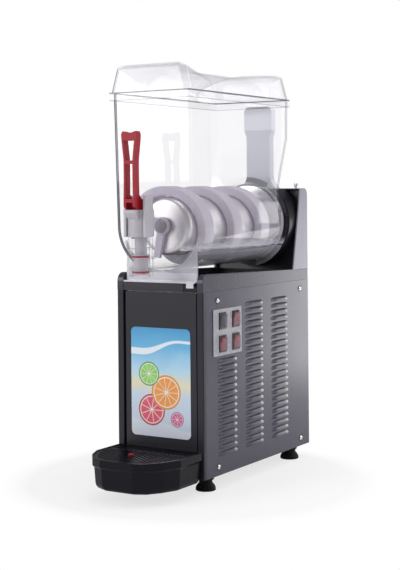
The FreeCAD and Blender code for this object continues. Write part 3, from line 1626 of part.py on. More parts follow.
def build():
    """All the nodes of the machine by name."""
    right_post = make_front_post()
    right_rail = make_side_rail()
    nodes = {
        "base_pan": make_base_pan(),
        "front_post_right": right_post,
        "front_post_left": mirrored(right_post),
        "rear_posts": make_rear_posts(),
        "front_bulkhead": make_front_bulkhead(),
        "front_panel": make_front_panel(),
        "picture_panel": make_picture_panel(),
        "side_panel_right": make_side_panel(louvre_column_rows_right, True),
        "side_panel_left": mirrored(make_side_panel(louvre_column_rows_left, False)),
        "panel_screws": make_panel_screws(),
        "side_screw_washers": make_screw_washers(),
        "rear_panel": make_rear_panel(),
        "cable_gland": make_cable_gland(),
        "feet": make_feet(),
        "top_deck": make_top_deck(),
        "deck_tray": make_deck_tray(),
        "front_trim": make_front_trim(),
        "bowl_catch": make_bowl_catch(),
        "side_rail_right": right_rail,
        "side_rail_left": mirrored(right_rail),
        "tower_cover": make_tower_cover(),
        "tower_front": make_tower_front(),
        "consistency_knob": make_consistency_knob(),
        "consistency_nut": make_consistency_nut(),
        "light_column": make_light_column(),
        "lamp_board": make_lamp_board(),
        "switch_plate": make_switch_plate(),
        "switch_housings": Part.makeCompound([make_switch_housing(y, z) for y, z in switch_centres()]),
        "switch_boots": Part.makeCompound([make_boot(y, z) for y, z in switch_centres()]),
        "evaporator_drum": make_drum(),
        "drum_flange": make_drum_flange(),
        "bowl_gasket": make_gasket(),
        "shaft_seal": make_shaft_seal(),
        "drive_shaft": make_shaft(),
        "auger": make_auger(),
        "auger_nut": make_auger_nut(),
        "gearmotor": make_gearmotor(),
        "bowl": make_bowl(),
        "lid": make_lid(),
        "tap_body": make_tap_body(),
        "tap_piston": make_tap_piston(),
        "tap_rings": make_tap_rings(),
        "tap_spring": make_tap_spring(),
        "tap_pin": make_tap_pin(),
        "tap_handle": make_tap_handle(),
        "drip_tray": make_drip_tray(),
        "tray_grille": make_tray_grille(),
        "tray_float": make_tray_float(),
        "tray_bracket": make_tray_bracket(),
        "condenser": make_condenser(),
        "fan_shroud": make_fan_shroud(),
        "fan_motor": make_fan_motor(),
        "fan_blade": make_fan_blade(),
        "compressor": make_compressor(),
        "control_box": make_control_box(),
        "refrigerant_pipes": make_pipes(),
    }
    for number, (y, z) in enumerate(switch_centres(), start=1):
        nodes["rocker_%d" % number] = make_rocker(y, z)
    return nodes


os.makedirs("parts", exist_ok=True)
for name, shape in build().items():
    placed = shape.translated(Vector(0, -middle_y, 0))
    placed.exportStep("parts/%s.step" % name)
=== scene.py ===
"""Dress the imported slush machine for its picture: fine pieces, finishes, floor, lights and camera.

Sizes in the classes are millimetres, measured across the machine, behind the cabinet's front face and above
the floor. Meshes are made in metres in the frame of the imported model.
"""

import json
import logging
import math
from dataclasses import dataclass
from enum import Enum
from typing import Callable, Iterable, Sequence

import bmesh
import bpy
from mathutils import Matrix, Vector

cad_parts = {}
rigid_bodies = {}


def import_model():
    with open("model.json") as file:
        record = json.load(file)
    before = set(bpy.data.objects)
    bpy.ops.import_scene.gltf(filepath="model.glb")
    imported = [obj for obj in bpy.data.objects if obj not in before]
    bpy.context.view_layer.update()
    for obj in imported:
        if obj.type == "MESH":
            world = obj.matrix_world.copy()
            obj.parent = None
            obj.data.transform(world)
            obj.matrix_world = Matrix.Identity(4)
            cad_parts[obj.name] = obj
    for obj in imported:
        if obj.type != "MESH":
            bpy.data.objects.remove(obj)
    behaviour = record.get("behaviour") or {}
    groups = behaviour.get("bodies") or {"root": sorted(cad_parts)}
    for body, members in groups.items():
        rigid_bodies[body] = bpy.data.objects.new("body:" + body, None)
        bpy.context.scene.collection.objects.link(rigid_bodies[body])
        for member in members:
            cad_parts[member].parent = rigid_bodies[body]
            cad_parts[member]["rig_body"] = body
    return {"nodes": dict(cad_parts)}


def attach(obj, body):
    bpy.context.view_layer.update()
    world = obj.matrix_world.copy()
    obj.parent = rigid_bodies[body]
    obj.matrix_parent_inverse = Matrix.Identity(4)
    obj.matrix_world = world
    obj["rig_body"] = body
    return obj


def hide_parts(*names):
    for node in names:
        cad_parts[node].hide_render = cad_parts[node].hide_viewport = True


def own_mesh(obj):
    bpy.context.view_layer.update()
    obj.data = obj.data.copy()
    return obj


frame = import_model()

log = logging.getLogger("slush_machine")

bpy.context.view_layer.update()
MM = 0.001
MM_PER_METRE = 1000.0
TIP = 0.01  # radius in mm at which a turned form closes on its axis
FRONT_OFFSET = 144.0
AXIS_HEIGHT = 515.0
SHARP_EDGE = 38.0  # degrees between two faces from which their edge stays sharp
TURNED_EDGE = 35.0  # the same for turned forms
Colour = tuple[float, float, float]
Point = tuple[float, float, float]
WHITE: Colour = (1.0, 1.0, 1.0)


def at(across: float, behind: float, height: float) -> Vector:
    """A place on the machine as a vector in metres.

    Args:
        across: distance from the machine's middle plane, in mm.
        behind: distance behind the cabinet's front face, in mm.
        height: height above the floor, in mm.

    Returns:
        The place in the model's frame.
    """
    return Vector((across * MM, (behind - FRONT_OFFSET) * MM, height * MM))


# Node trees


def by_math_node(operation: str, swapped: bool = False) -> Callable[..., "Term"]:
    """Make a method of Term that puts its value and others through one Math node.

    Args:
        operation: the node's operation.
        swapped: whether the term's own value comes last.

    Returns:
        The method.
    """

    def method(term: "Term", *others: "Term | float") -> "Term":
        """The node's value."""
        values = (*others, term) if swapped else (term, *others)
        return term.bench.maths(operation, *values)

    return method


class Term:
    """A socket's value in a Python expression, for shader and geometry trees alike.

    A comparison gives one where it holds, else nought. Angles are in radians.
    """

    __add__ = __radd__ = by_math_node("ADD")
    __mul__ = __rmul__ = by_math_node("MULTIPLY")
    __sub__ = by_math_node("SUBTRACT")
    __rsub__ = by_math_node("SUBTRACT", swapped=True)
    __truediv__ = by_math_node("DIVIDE")
    __pow__ = by_math_node("POWER")
    __gt__ = by_math_node("GREATER_THAN")
    __lt__ = by_math_node("LESS_THAN")
    __abs__ = by_math_node("ABSOLUTE")
    at_least = by_math_node("MAXIMUM")
    at_most = by_math_node("MINIMUM")
    sine = by_math_node("SINE")
    cosine = by_math_node("COSINE")

    def __init__(self, bench: "Bench", socket: bpy.types.NodeSocket) -> None:
        """Wrap a socket of the tree that the bench builds."""
        self.bench = bench
        self.socket = socket

    def eased(self, low: float, high: float) -> "Term":
        """A smooth step from nought at low to one at high."""
        made = self.bench.node("ShaderNodeMapRange", {"interpolation_type": "SMOOTHSTEP"},
                               {"Value": self, "From Min": low, "From Max": high})
        return made.out("Result")


class Made:
    """A node that has been made, whose outputs can be taken as terms."""

    def __init__(self, bench: "Bench", node: bpy.types.Node) -> None:
        """Keep the node and its bench."""
        self.bench = bench
        self.node = node

    def out(self, name: str | int = 0) -> Term:
        """One output, by name or number."""
        return Term(self.bench, self.node.outputs[name])


class Bench:
    """Builds one node tree."""

    def __init__(self, tree: bpy.types.NodeTree) -> None:
        """Work on an empty tree."""
        self.tree = tree

    def node(self, kind: str, settings: dict | None = None, inputs: dict | None = None) -> Made:
        """Make a node.

        Args:
            kind: the node's type.
            settings: its settings, set first; "stops" gives a ramp's (place, colour) pairs.
            inputs: values or terms for its sockets, by name or number.

        Returns:
            The node, ready to be linked on.
        """
        node = self.tree.nodes.new(kind)
        for name, value in (settings or {}).items():
            if name == "stops":
                ramp = node.color_ramp
                while len(ramp.elements) < len(value):
                    ramp.elements.new(1.0)
                for element, (place, colour) in zip(ramp.elements, value):
                    element.position = place
                    element.color = (*colour, 1.0)
            else:
                setattr(node, name, value)
        for name, value in (inputs or {}).items():
            self.plug(node.inputs[name], value)
        return Made(self, node)

    def plug(self, socket: bpy.types.NodeSocket, value: object) -> None:
        """Give a socket a term's link or a plain value."""
        if isinstance(value, Made):
            value = value.out()
        if isinstance(value, Term):
            self.tree.links.new(value.socket, socket)
        elif socket.type == "RGBA" and len(value) == 3:
            socket.default_value = (*value, 1.0)
        else:
            socket.default_value = value

    def maths(self, operation: str, *values: "Term | float") -> Term:
        """A Math node on the given values."""
        return self.node("ShaderNodeMath", {"operation": operation}, dict(enumerate(values))).out()

    def place(self) -> Term:
        """The shading point in the object's own coordinates."""
        return self.node("ShaderNodeTexCoord").out("Object")

    def split(self, vector: Term) -> tuple[Term, Term, Term]:
        """The three parts of a vector."""
        parts = self.node("ShaderNodeSeparateXYZ", None, {0: vector})
        return parts.out(0), parts.out(1), parts.out(2)

    def join(self, x: "Term | float", y: "Term | float", z: "Term | float") -> Term:
        """A vector from three values."""
        return self.node("ShaderNodeCombineXYZ", None, {0: x, 1: y, 2: z}).out()

    def stretched(self, vector: Term, scale: Point) -> Term:
        """Coordinates scaled for a pattern."""
        return self.node("ShaderNodeMapping", None, {"Vector": vector, "Scale": scale}).out()

    def noise(self, vector: Term, scale: float, detail: float = 2.0) -> Term:
        """Noise from nought to one."""
        inputs = {"Vector": vector, "Scale": scale, "Detail": detail}
        return self.node("ShaderNodeTexNoise", None, inputs).out(0)

    def blend(self, share: "Term | float", first: object, second: object) -> Term:
        """One colour going over into another."""
        made = self.node("ShaderNodeMix", {"data_type": "RGBA"}, {0: share, 6: first, 7: second})
        return made.out(2)

    def principled(self, inputs: dict) -> Term:
        """A Principled shader."""
        return self.node("ShaderNodeBsdfPrincipled", None, inputs).out()

    def mix(self, share: "Term | float", first: Term, second: Term) -> Term:
        """One shader going over into another."""
        return self.node("ShaderNodeMixShader", None, {0: share, 1: first, 2: second}).out()

    def bump(self, height: Term, strength: float, distance: float) -> Term:
        """A bumped normal."""
        inputs = {"Height": height, "Strength": strength, "Distance": distance}
        return self.node("ShaderNodeBump", None, inputs).out()


# Finishes


def toned(colour: Colour, factor: float) -> Colour:
    """A colour made darker or lighter."""
    return tuple(min(1.0, c * factor) for c in colour)


@dataclass(frozen=True)
class Finish:
    """A surface finish that becomes one material."""

    name: str

    def material(self) -> bpy.types.Material:
        """The finish's material, made once."""
        title = "finish_" + self.name
        known = bpy.data.materials.get(title)
        if known:
            return known
        made = bpy.data.materials.new(title)
        made.use_nodes = True
        made.node_tree.nodes.clear()
        bench = Bench(made.node_tree)
        surface = self.surface(bench)
        bench.node("ShaderNodeOutputMaterial", None, {"Surface": surface})
        return made

    def surface(self, bench: Bench) -> Term:
        """The shader that the finish puts on its output."""
        raise NotImplementedError


@dataclass(frozen=True)
class PowderCoat(Finish):
    """Baked powder paint: fine orange peel, slightly uneven sheen."""

    colour: Colour = (0.05, 0.05, 0.06)
    roughness: float = 0.4
    peel: float = 0.12
    shine: float = 0.5
    mottle: float = 0.07
    mottle_scale: float = 14.0

    def surface(self, bench: Bench) -> Term:
        """Paint over a fine bump."""
        place = bench.place()
        cloud = bench.noise(place, self.mottle_scale, 3.0)
        grain = bench.noise(place, 1500.0, 2.0)
        dark = toned(self.colour, 1.0 - self.mottle)
        light = toned(self.colour, 1.0 + self.mottle)
        return bench.principled({
            "Base Color": bench.blend(cloud, dark, light),
            "Roughness": (cloud - 0.5) * 0.08 + (grain - 0.5) * 0.06 + self.roughness,
            "Specular IOR Level": self.shine,
            "Normal": bench.bump(grain, self.peel, 0.0002),
        })


@dataclass(frozen=True)
class Brushed(Finish):
    """Brushed or drawn metal whose scratches run along one axis."""

    colour: Colour = (0.7, 0.7, 0.71)
    roughness: float = 0.25
    stretch: Point = (1.0, 60.0, 60.0)
    depth: float = 0.05

    def surface(self, bench: Bench) -> Term:
        """Metal with long fine scratches."""
        place = bench.stretched(bench.place(), self.stretch)
        scratches = bench.noise(place, 40.0, 4.0)
        return bench.principled({
            "Base Color": bench.blend(scratches, toned(self.colour, 0.94), self.colour),
            "Metallic": 1.0,
            "Roughness": scratches * 0.12 + (self.roughness - 0.06),
            "Normal": bench.bump(scratches, self.depth, 0.0001),
        })


@dataclass(frozen=True)
class Moulded(Finish):
    """Injection-moulded plastic or rubber with a fine grain."""

    colour: Colour = (0.03, 0.03, 0.03)
    roughness: float = 0.4
    grain: float = 0.1
    coat: float = 0.0
    glow: float = 0.0
    shine: float = 0.5

    def surface(self, bench: Bench) -> Term:
        """Plastic with a spark-eroded grain and faint handling marks."""
        place = bench.place()
        cloud = bench.noise(place, 25.0, 3.0)
        fine = bench.noise(place, 2400.0, 1.0)
        colour = bench.blend(cloud, toned(self.colour, 0.95), toned(self.colour, 1.04))
        body = bench.principled({
            "Base Color": colour,
            "Roughness": (cloud - 0.5) * 0.07 + self.roughness,
            "Coat Weight": self.coat,
            "Coat Roughness": 0.08,
            "Specular IOR Level": self.shine,
            "Normal": bench.bump(fine, self.grain, 0.0001),
        })
        if not self.glow:
            return body
        passed = bench.node("ShaderNodeBsdfTranslucent", None, {"Color": colour}).out()
        return bench.mix(self.glow, body, passed)


@dataclass(frozen=True)
class MilkyColumn(Finish):
    """Milky plastic over a pale insert: greyer below a step and lighter above it, around its head, with a
    painted glow that lifts its shade.
    """

    low: Colour = (0.52, 0.52, 0.58)
    high: Colour = (0.66, 0.66, 0.72)
    change: float = 716.0
    opacity: float = 0.93
    # Strength of a painted glow that lifts the column's shade.
    lamp: float = 0.30

    def surface(self, bench: Bench) -> Term:
        """Two soft tones with a sheen and a painted glow."""
        place = bench.place()
        _, _, z = bench.split(place)
        cloud = bench.noise(place, 20.0, 2.0)
        share = (z * MM_PER_METRE).eased(self.change - 3.0, self.change + 3.0)
        tone = bench.blend(share, self.low, self.high)
        return bench.principled({
            "Base Color": bench.blend(cloud * 0.08, tone, WHITE),
            "Roughness": cloud * 0.06 + 0.28,
            "Alpha": self.opacity,
            # Painted glow that lifts the shade.
            "Emission Color": tone,
            "Emission Strength": self.lamp,
        })


@dataclass(frozen=True)
class ClearMoulding(Finish):
    """Clear plastic: it lets light straight through, darkens where it is seen edge on, and shines."""

    tint: Colour = (0.995, 0.995, 0.998)
    edge: Colour = (0.30, 0.29, 0.34)
    haze: float = 0.002
    edge_share: float = 0.8
    edge_start: float = 0.66
    shine: float = 0.96
    # Colour of the painted dark lines of shade along folds.
    line: Colour = (0.10, 0.10, 0.13)
    # Colour of the milky tint, also used for painted highlights and reflections.
    milk_and_reflection: Colour = (0.80, 0.79, 0.86)

    def frame_of(self, bench: Bench) -> tuple[Term, Term, Term]:
        """The place across, behind the cabinet's front and above the floor, in mm."""
        x, y, z = bench.split(bench.place())
        return x * MM_PER_METRE, y * MM_PER_METRE + FRONT_OFFSET, z * MM_PER_METRE

    def painted_outline_shade(self, bench: Bench) -> "Term | float":
        """How much painted shade darkens the moulding's folded edges, from nought to one."""
        return 0.0

    def milk_and_reflection_share(self, bench: Bench) -> "Term | float":
        """How much milky tint and painted reflection the moulding shows, from nought to one."""
        return 0.0

    def calm(self, bench: Bench) -> "Term | float":
        """How much of its edge tint and gloss the moulding keeps, from nought to one."""
        return 1.0

    def surface(self, bench: Bench) -> Term:
        """A straight-through shader with an edge tint, painted dark lines of shade along folds, milky parts
        with painted reflections, and a gloss.
        """
        place = bench.place()
        swirl = bench.noise(place, 9.0, 2.0)
        facing = bench.node("ShaderNodeLayerWeight", None, {"Blend": 0.5}).out("Facing")
        tinted = bench.node("ShaderNodeBsdfTransparent", None, {"Color": self.tint}).out()
        calm = self.calm(bench)
        edged = facing.eased(self.edge_start, 0.99) * self.edge_share * calm + swirl * (2.0 * self.haze)
        # Over the edge tint go a milky tint with painted reflections, then painted dark lines of shade along
        # folds.
        layers = (
            (edged, self.edge),
            (self.milk_and_reflection_share(bench), self.milk_and_reflection),
            (self.painted_outline_shade(bench), self.line),
        )
        for share, colour in layers:
            body = bench.principled({"Base Color": colour, "Roughness": 0.25})
            tinted = bench.mix(share, tinted, body)
        gloss = bench.node("ShaderNodeBsdfGlossy", None, {"Color": WHITE, "Roughness": 0.04}).out()
        outer = 1.0 - bench.node("ShaderNodeNewGeometry").out("Backfacing")
        bright = (facing ** 5.0 * self.shine + 0.04) * outer * calm
        return bench.mix(bright, tinted, gloss)


@dataclass(frozen=True)
class BowlMoulding(ClearMoulding):
    """The bowl's plastic: painted dark lines of shade along its corners seen edge on, a milky skirt lighter
    towards its hem, a painted highlight above its drip rib and a painted reflection below it.
    """

    half: float = 86.5
    half_lean: float = 3.7
    front: float = -18.5
    front_lean: float = 5.0
    rear: float = 336.0
    rear_bulge: float = 38.0
    bulge_low: float = 590.0
    bulge_height: float = 104.0
    rise: float = 260.0
    corner: float = 7.0
    skirt_rear: float = 12.6
    rib_top: float = 468.2
    hem_top: float = 424.0
    collar: float = 341.0
    # Height over which the painted highlight above the rib fades.
    rib_highlight: float = 17.0
    # Shares of the painted dark lines at the left front and the right rear corners.
    fold_share: float = 0.88
    far_share: float = 0.22
    collar_calm: float = 0.85
    # The skirt's milky tint and its lightening towards the hem, then the painted highlight above the rib and
    # the painted reflection on the belly below it.
    skirt_milk: float = 0.34
    hem_fade_lightening: float = 0.28
    hem_lightening: float = 0.30
    rib_highlight_share: float = 0.45
    belly_reflection_share: float = 0.30

    def painted_outline_shade(self, bench: Bench) -> Term:
        """Painted dark lines of shade on the corners that are seen edge on: left front from rim to trough,
        right rear more faintly.
        """
        x, b, z = self.frame_of(bench)
        climbed = ((z - AXIS_HEIGHT) / self.rise).at_least(0.0)
        half = climbed * self.half_lean + self.half
        front = self.front - climbed * self.front_lean
        low = (z - AXIS_HEIGHT).at_most(0.0)
        reach = bench.maths("SQRT", x * x + low * low)
        fold = (reach - half + self.corner).eased(-0.6, 0.9)
        left = (0.0 - x).eased(10.0, 50.0)
        near = 1.0 - (b - front - self.corner).eased(-0.9, 0.6)
        bulge = ((z - self.bulge_low) / self.bulge_height).at_least(0.0).at_most(1.0)
        far = (b - bulge * self.rear_bulge - self.rear + self.corner).eased(-0.6, 0.9)
        right = (x - half + self.corner).eased(-0.6, 0.9) * (z > AXIS_HEIGHT + 20.0)
        return fold * left * near * (z > 400.0) * self.fold_share + far * right * self.far_share

    def calm(self, bench: Bench) -> Term:
        """Less of both on the collar behind the rear wall, which stands in front of a pale column."""
        _, b, _ = self.frame_of(bench)
        return 1.0 - (b > self.collar) * self.collar_calm

    def milk_and_reflection_share(self, bench: Bench) -> Term:
        """The milky skirt in front, lighter towards its hem, a painted highlight above the rib on the outer
        wall and a painted reflection on the belly below it.
        """
        x, b, z = self.frame_of(bench)
        low = z - AXIS_HEIGHT
        reach = bench.maths("SQRT", x * x + low * low)
        skirt = (reach > self.half + 0.4) * (b < self.skirt_rear) * (b > -4.0) * (z < AXIS_HEIGHT)
        # A painted highlight fading up from the rib, and a painted reflection on the belly below it.
        rib_highlight = (1.0 - (z - self.rib_top).eased(0.0, self.rib_highlight)) * (z > self.rib_top) * (x > 60.0)
        belly = (z < self.rib_top - 3.0) * (x > 20.0) * (b > self.skirt_rear)
        # The skirt's milky tint grows lighter towards its hem.
        fading = (1.0 - (z - self.hem_top).eased(0.0, 30.0)) * self.hem_fade_lightening
        depth = self.skirt_milk + fading + (z < self.hem_top) * self.hem_lightening
        return (skirt * depth).at_least(rib_highlight * self.rib_highlight_share).at_least(belly * self.belly_reflection_share)


@dataclass(frozen=True)
class LidMoulding(ClearMoulding):
    """The lid's plastic: greyish, with painted dark lines of shade around its flange and along its folded
    corners.
    """

    flange: float = 775.4
    sheet: float = 2.3
    hem: float = 762.6
    half: float = 92.5
    lean: float = 11.0
    straight: float = 43.4
    front: float = -32.0
    rear: float = 376.0
    corner: float = 8.0
    # Shares of the painted dark lines and shade: flange edge, band below the hem, near and far folds, sloped
    # faces of the humps.
    rim_share: float = 0.72
    hem_share: float = 0.35
    near_share: float = 0.75
    far_share: float = 0.45
    brow_share: float = 0.10

    def painted_outline_shade(self, bench: Bench) -> Term:
        """Painted dark lines of shade along the flange's edge and the crown's left front and right rear
        folds, painted shade on the humps' sloped faces, and a darker band below the hem.
        """
        x, b, z = self.frame_of(bench)
        rim = (z > self.flange) * (z < self.flange + self.sheet)
        hem = (z < self.hem) * self.hem_share
        climbed = ((z - self.flange) / self.straight).at_least(0.0).at_most(1.0)
        half = self.half - climbed * self.lean
        left = (0.0 - x - half + self.corner).eased(-0.8, 1.2)
        right = (x - half + self.corner).eased(-0.8, 1.2)
        near = 1.0 - (b - self.front - climbed * 2.0 - self.corner).eased(-1.2, 0.8)
        far = (b - self.rear + climbed * 2.0 + self.corner).eased(-0.8, 1.2)
        # Painted shade on the sloped faces of the humps.
        upright = bench.split(bench.node("ShaderNodeNewGeometry").out("Normal"))[2]
        brow = abs(upright).eased(0.62, 0.84) * (1.0 - abs(upright).eased(0.985, 0.999))
        humps = (1.0 - b.eased(66.0, 96.0)).at_least(b.eased(330.0, 350.0))
        folds = (left * near * self.near_share).at_least(right * far * self.far_share)
        folds = folds.at_least(brow * humps * self.brow_share)
        return (rim * self.rim_share).at_least(hem).at_least(folds * (z > self.flange))


# Each slice's middle and radius in mm, its rind and flesh, and how many segments it has.
FRUIT_SLICES = (
    ((-21.0, 52.0), 31.0, (0.55, 0.03, 0.10), (0.62, 0.05, 0.12), 9),
    ((13.0, 88.0), 34.0, (0.86, 0.30, 0.03), (0.85, 0.26, 0.03), 11),
    ((-27.0, 122.0), 24.0, (0.07, 0.33, 0.08), (0.22, 0.52, 0.10), 10),
    ((38.0, 37.0), 15.0, (0.45, 0.03, 0.22), (0.55, 0.08, 0.28), 8),
)


@dataclass(frozen=True)
class PicturePrint(Finish):
    """A summery print of round fruit slices over a shore in haze, under gloss."""

    width: float = 138.0
    height: float = 213.0
    bottom: float = 103.0

    def slice(self, bench: Bench, across: Term, up: Term, ground: Term, centre: tuple[float, float],
              radius: float, rind: Colour, flesh: Colour, segments: int) -> Term:
        """Paint a fruit slice over what lies below it.

        Args:
            bench: the tree's bench.
            across: place across the print, in mm from its middle.
            up: place up the print, in mm from its lower edge.
            ground: the colours below.
            centre: the slice's middle in those places.
            radius: its radius in mm.
            rind: colour of its rim.
            flesh: colour of its segments.
            segments: how many segments it has.

        Returns:
            The colours with the slice on them.
        """
        x = across - centre[0]
        y = up - centre[1]
        distance = bench.maths("SQRT", x * x + y * y)
        angle = bench.maths("ARCTAN2", y, x)
        ripple = bench.noise(bench.place(), 260.0, 3.0)
        spoke = abs((angle * (segments / 2.0)).sine())
        inside = 1.0 - (distance / radius).eased(0.985, 1.0)
        pith = 1.0 - (distance / radius).eased(0.86, 0.90)
        meat = 1.0 - (distance / radius).eased(0.80, 0.83)
        cut = (spoke * distance / radius).eased(0.07, 0.12) * meat
        juicy = bench.blend(ripple, flesh, tuple(min(1.0, c * 1.5 + 0.05) for c in flesh))
        colours = bench.blend(inside, ground, rind)
        colours = bench.blend(pith, colours, (0.93, 0.90, 0.78))
        return bench.blend(cut, colours, juicy)

    def surface(self, bench: Bench) -> Term:
        """The print's paint under a clear gloss."""
        x, _, z = bench.split(bench.place())
        across = x * MM_PER_METRE
        up = z * MM_PER_METRE - self.bottom
        share = up / self.height
        sky = bench.node("ShaderNodeValToRGB", {"stops": [
            (0.0, (0.50, 0.60, 0.80)), (0.16, (0.66, 0.74, 0.88)), (0.36, (0.62, 0.76, 0.92)),
            (0.50, (0.86, 0.80, 0.55)), (0.62, (0.50, 0.76, 0.93)), (0.80, (0.14, 0.50, 0.82)),
            (1.0, (0.06, 0.34, 0.66)),
        ]}, {0: share + bench.noise(bench.place(), 18.0, 4.0) * 0.16 - 0.08}).out()
        swell = (across * 0.055).sine() * 5.0 + across * 0.22
        band = (up - 172.0 - swell).eased(-1.0, 1.0) * (1.0 - (up - 181.0 - swell * 0.7).eased(-1.0, 1.0))
        picture = bench.blend(band * 0.85, sky, (0.95, 0.97, 1.0))
        low_swell = (across * 0.07 + 1.0).sine() * 4.0 - across * 0.12
        surf = 1.0 - (up - 26.0 - low_swell).eased(-3.0, 3.0)
        picture = bench.blend(surf * 0.7, picture, (0.80, 0.83, 0.92))
        for one in FRUIT_SLICES:
            picture = self.slice(bench, across, up, picture, *one)
        return bench.principled({
            "Base Color": picture,
            "Roughness": 0.35,
            "Coat Weight": 0.35,
            "Coat Roughness": 0.06,
        })


class Coating(Enum):
    """The finishes of the machine's pieces."""

    FRONT_PAINT = PowderCoat("front_paint", (0.013, 0.011, 0.019), 0.31, 0.10)
    SIDE_PAINT = PowderCoat("side_paint", (0.044, 0.041, 0.070), 0.25, 0.10)
    TOWER_PAINT = PowderCoat("tower_paint", (0.28, 0.27, 0.33), 0.40, 0.10)
    PLATE_PAINT = PowderCoat(
        "switch_plate_paint", (0.37, 0.36, 0.40), 0.45, 0.08, mottle=0.45, mottle_scale=160.0)
    ZINC = Brushed("zinc_sheet_metal", (0.55, 0.56, 0.58), 0.45, (1.0, 1.0, 1.0), 0.05)
    DRUM_STEEL = Brushed("drum_stainless", (0.86, 0.84, 0.86), 0.46, (60.0, 1.0, 60.0), 0.03)
    STEEL = Brushed("fittings_stainless", (0.72, 0.72, 0.74), 0.24, (60.0, 1.0, 60.0), 0.04)
    CHROME = Brushed("screw_chrome", (0.88, 0.88, 0.90), 0.12, (1.0, 1.0, 1.0), 0.01)
    DARK_STEEL = Brushed("dark_metal", (0.20, 0.20, 0.22), 0.40, (1.0, 1.0, 1.0), 0.04)
    ALUMINIUM = Brushed("mill_aluminium", (0.74, 0.74, 0.75), 0.32, (1.0, 60.0, 60.0), 0.05)
    COPPER = Brushed("drawn_copper", (0.78, 0.38, 0.22), 0.28, (60.0, 1.0, 60.0), 0.03)
    BLACK_PLASTIC = Moulded("black_moulding", (0.010, 0.009, 0.014), 0.34, 0.10, shine=0.3)
    POST_PLASTIC = Moulded("corner_post_moulding", (0.017, 0.015, 0.025), 0.30, 0.06, shine=0.4)
    TRAY_PLASTIC = Moulded("tray_moulding", (0.0045, 0.004, 0.009), 0.26, 0.06, shine=0.16)
    RUBBER = Moulded("ribbed_rubber", (0.006, 0.006, 0.008), 0.55, 0.25, shine=0.2)
    RAIL_PLASTIC = Moulded("rail_moulding", (0.036, 0.034, 0.056), 0.27, 0.08)
    TRIM_PLASTIC = Moulded("trim_moulding", (0.020, 0.018, 0.028), 0.34, 0.08)
    WHITE_PLASTIC = Moulded("white_tap_moulding", (0.60, 0.575, 0.63), 0.30, 0.04, 0.1, 0.12)
    HUB_PLASTIC = Moulded("grey_nut_moulding", (0.30, 0.28, 0.31), 0.35, 0.05, 0.2)
    AUGER_PLASTIC = Moulded("auger_moulding", (0.76, 0.72, 0.80), 0.40, 0.05, 0.1, 0.35)
    MILKY_PLASTIC = MilkyColumn("milky_column_moulding")
    RED_PLASTIC = Moulded("red_moulding", (0.38, 0.006, 0.022), 0.38, 0.03, shine=0.3)
    RED_LENS = Moulded("red_rocker_moulding", (0.36, 0.006, 0.012), 0.30, 0.03, 0.3)
    RED_RUBBER = Moulded("red_ring_rubber", (0.45, 0.02, 0.03), 0.42, 0.05)
    SILICONE = Moulded("gasket_silicone", (0.50, 0.49, 0.55), 0.45, 0.06, glow=0.2)
    GREEN_BOARD = Moulded("green_board_lacquer", (0.03, 0.20, 0.08), 0.40, 0.05)
    CLEAR = BowlMoulding(
        "clear_bowl_plastic", (0.993, 0.993, 0.997), (0.58, 0.57, 0.63), 0.004, 0.40, 0.62, 0.75)
    CLEAR_LID = LidMoulding(
        "clear_lid_plastic", (0.987, 0.986, 0.994), (0.84, 0.83, 0.89), 0.004, 0.24, 0.40, 0.2)
    CLEAR_BOOT = ClearMoulding("clear_boot_vinyl", (0.92, 0.91, 0.94), (0.60, 0.58, 0.62), 0.05, 0.6)
    PICTURE = PicturePrint("picture_under_gloss")

    @property
    def material(self) -> bpy.types.Material:
        """The finish's material."""
        return self.value.material()


# Mesh making


def new_piece(name: str, mesh: bpy.types.Mesh, coating: Coating) -> bpy.types.Object:
    """Put a mesh into the scene as a piece with one finish."""
    piece = bpy.data.objects.new(name, mesh)
    bpy.context.scene.collection.objects.link(piece)
    mesh.materials.clear()
    mesh.materials.append(coating.material)
    return piece


def settle(piece: bpy.types.Object) -> bpy.types.Object:
    """Turn a piece's modifiers into plain mesh and take them off."""
    depsgraph = bpy.context.evaluated_depsgraph_get()
    baked = bpy.data.meshes.new_from_object(
        piece.evaluated_get(depsgraph), preserve_all_data_layers=True, depsgraph=depsgraph)
    piece.modifiers.clear()
    old = piece.data
    piece.data = baked
    bpy.data.meshes.remove(old)
    baked.name = piece.name
    return piece


def soften(piece: bpy.types.Object, width: float, steps: int = 2,
           limit: float = SHARP_EDGE) -> bpy.types.Object:
    """Round a piece's sharp edges and shade it evenly.

    Args:
        piece: the piece, still without modifiers.
        width: width of the rounding in mm, or nought for none.
        steps: faces across each rounding.
        limit: edges sharper than this many degrees are rounded.

    Returns:
        The same piece with its final mesh.
    """
    piece.data.shade_smooth()
    piece.data.set_sharp_from_angle(angle=math.radians(limit))
    if width:
        bevel = piece.modifiers.new("rounding", "BEVEL")
        bevel.width = width * MM
        bevel.segments = steps
        bevel.limit_method = "ANGLE"
        bevel.angle_limit = math.radians(limit)
        bevel.miter_outer = "MITER_ARC"
        piece.data.shade_smooth()
    even = piece.modifiers.new("even_shading", "WEIGHTED_NORMAL")
    even.keep_sharp = not width
    even.weight = 80
    return settle(piece)


def mesh_of(body: bmesh.types.BMesh, name: str) -> bpy.types.Mesh:
    """Turn an edit mesh into a plain mesh."""
    mesh = bpy.data.meshes.new(name)
    body.to_mesh(mesh)
    body.free()
    return mesh


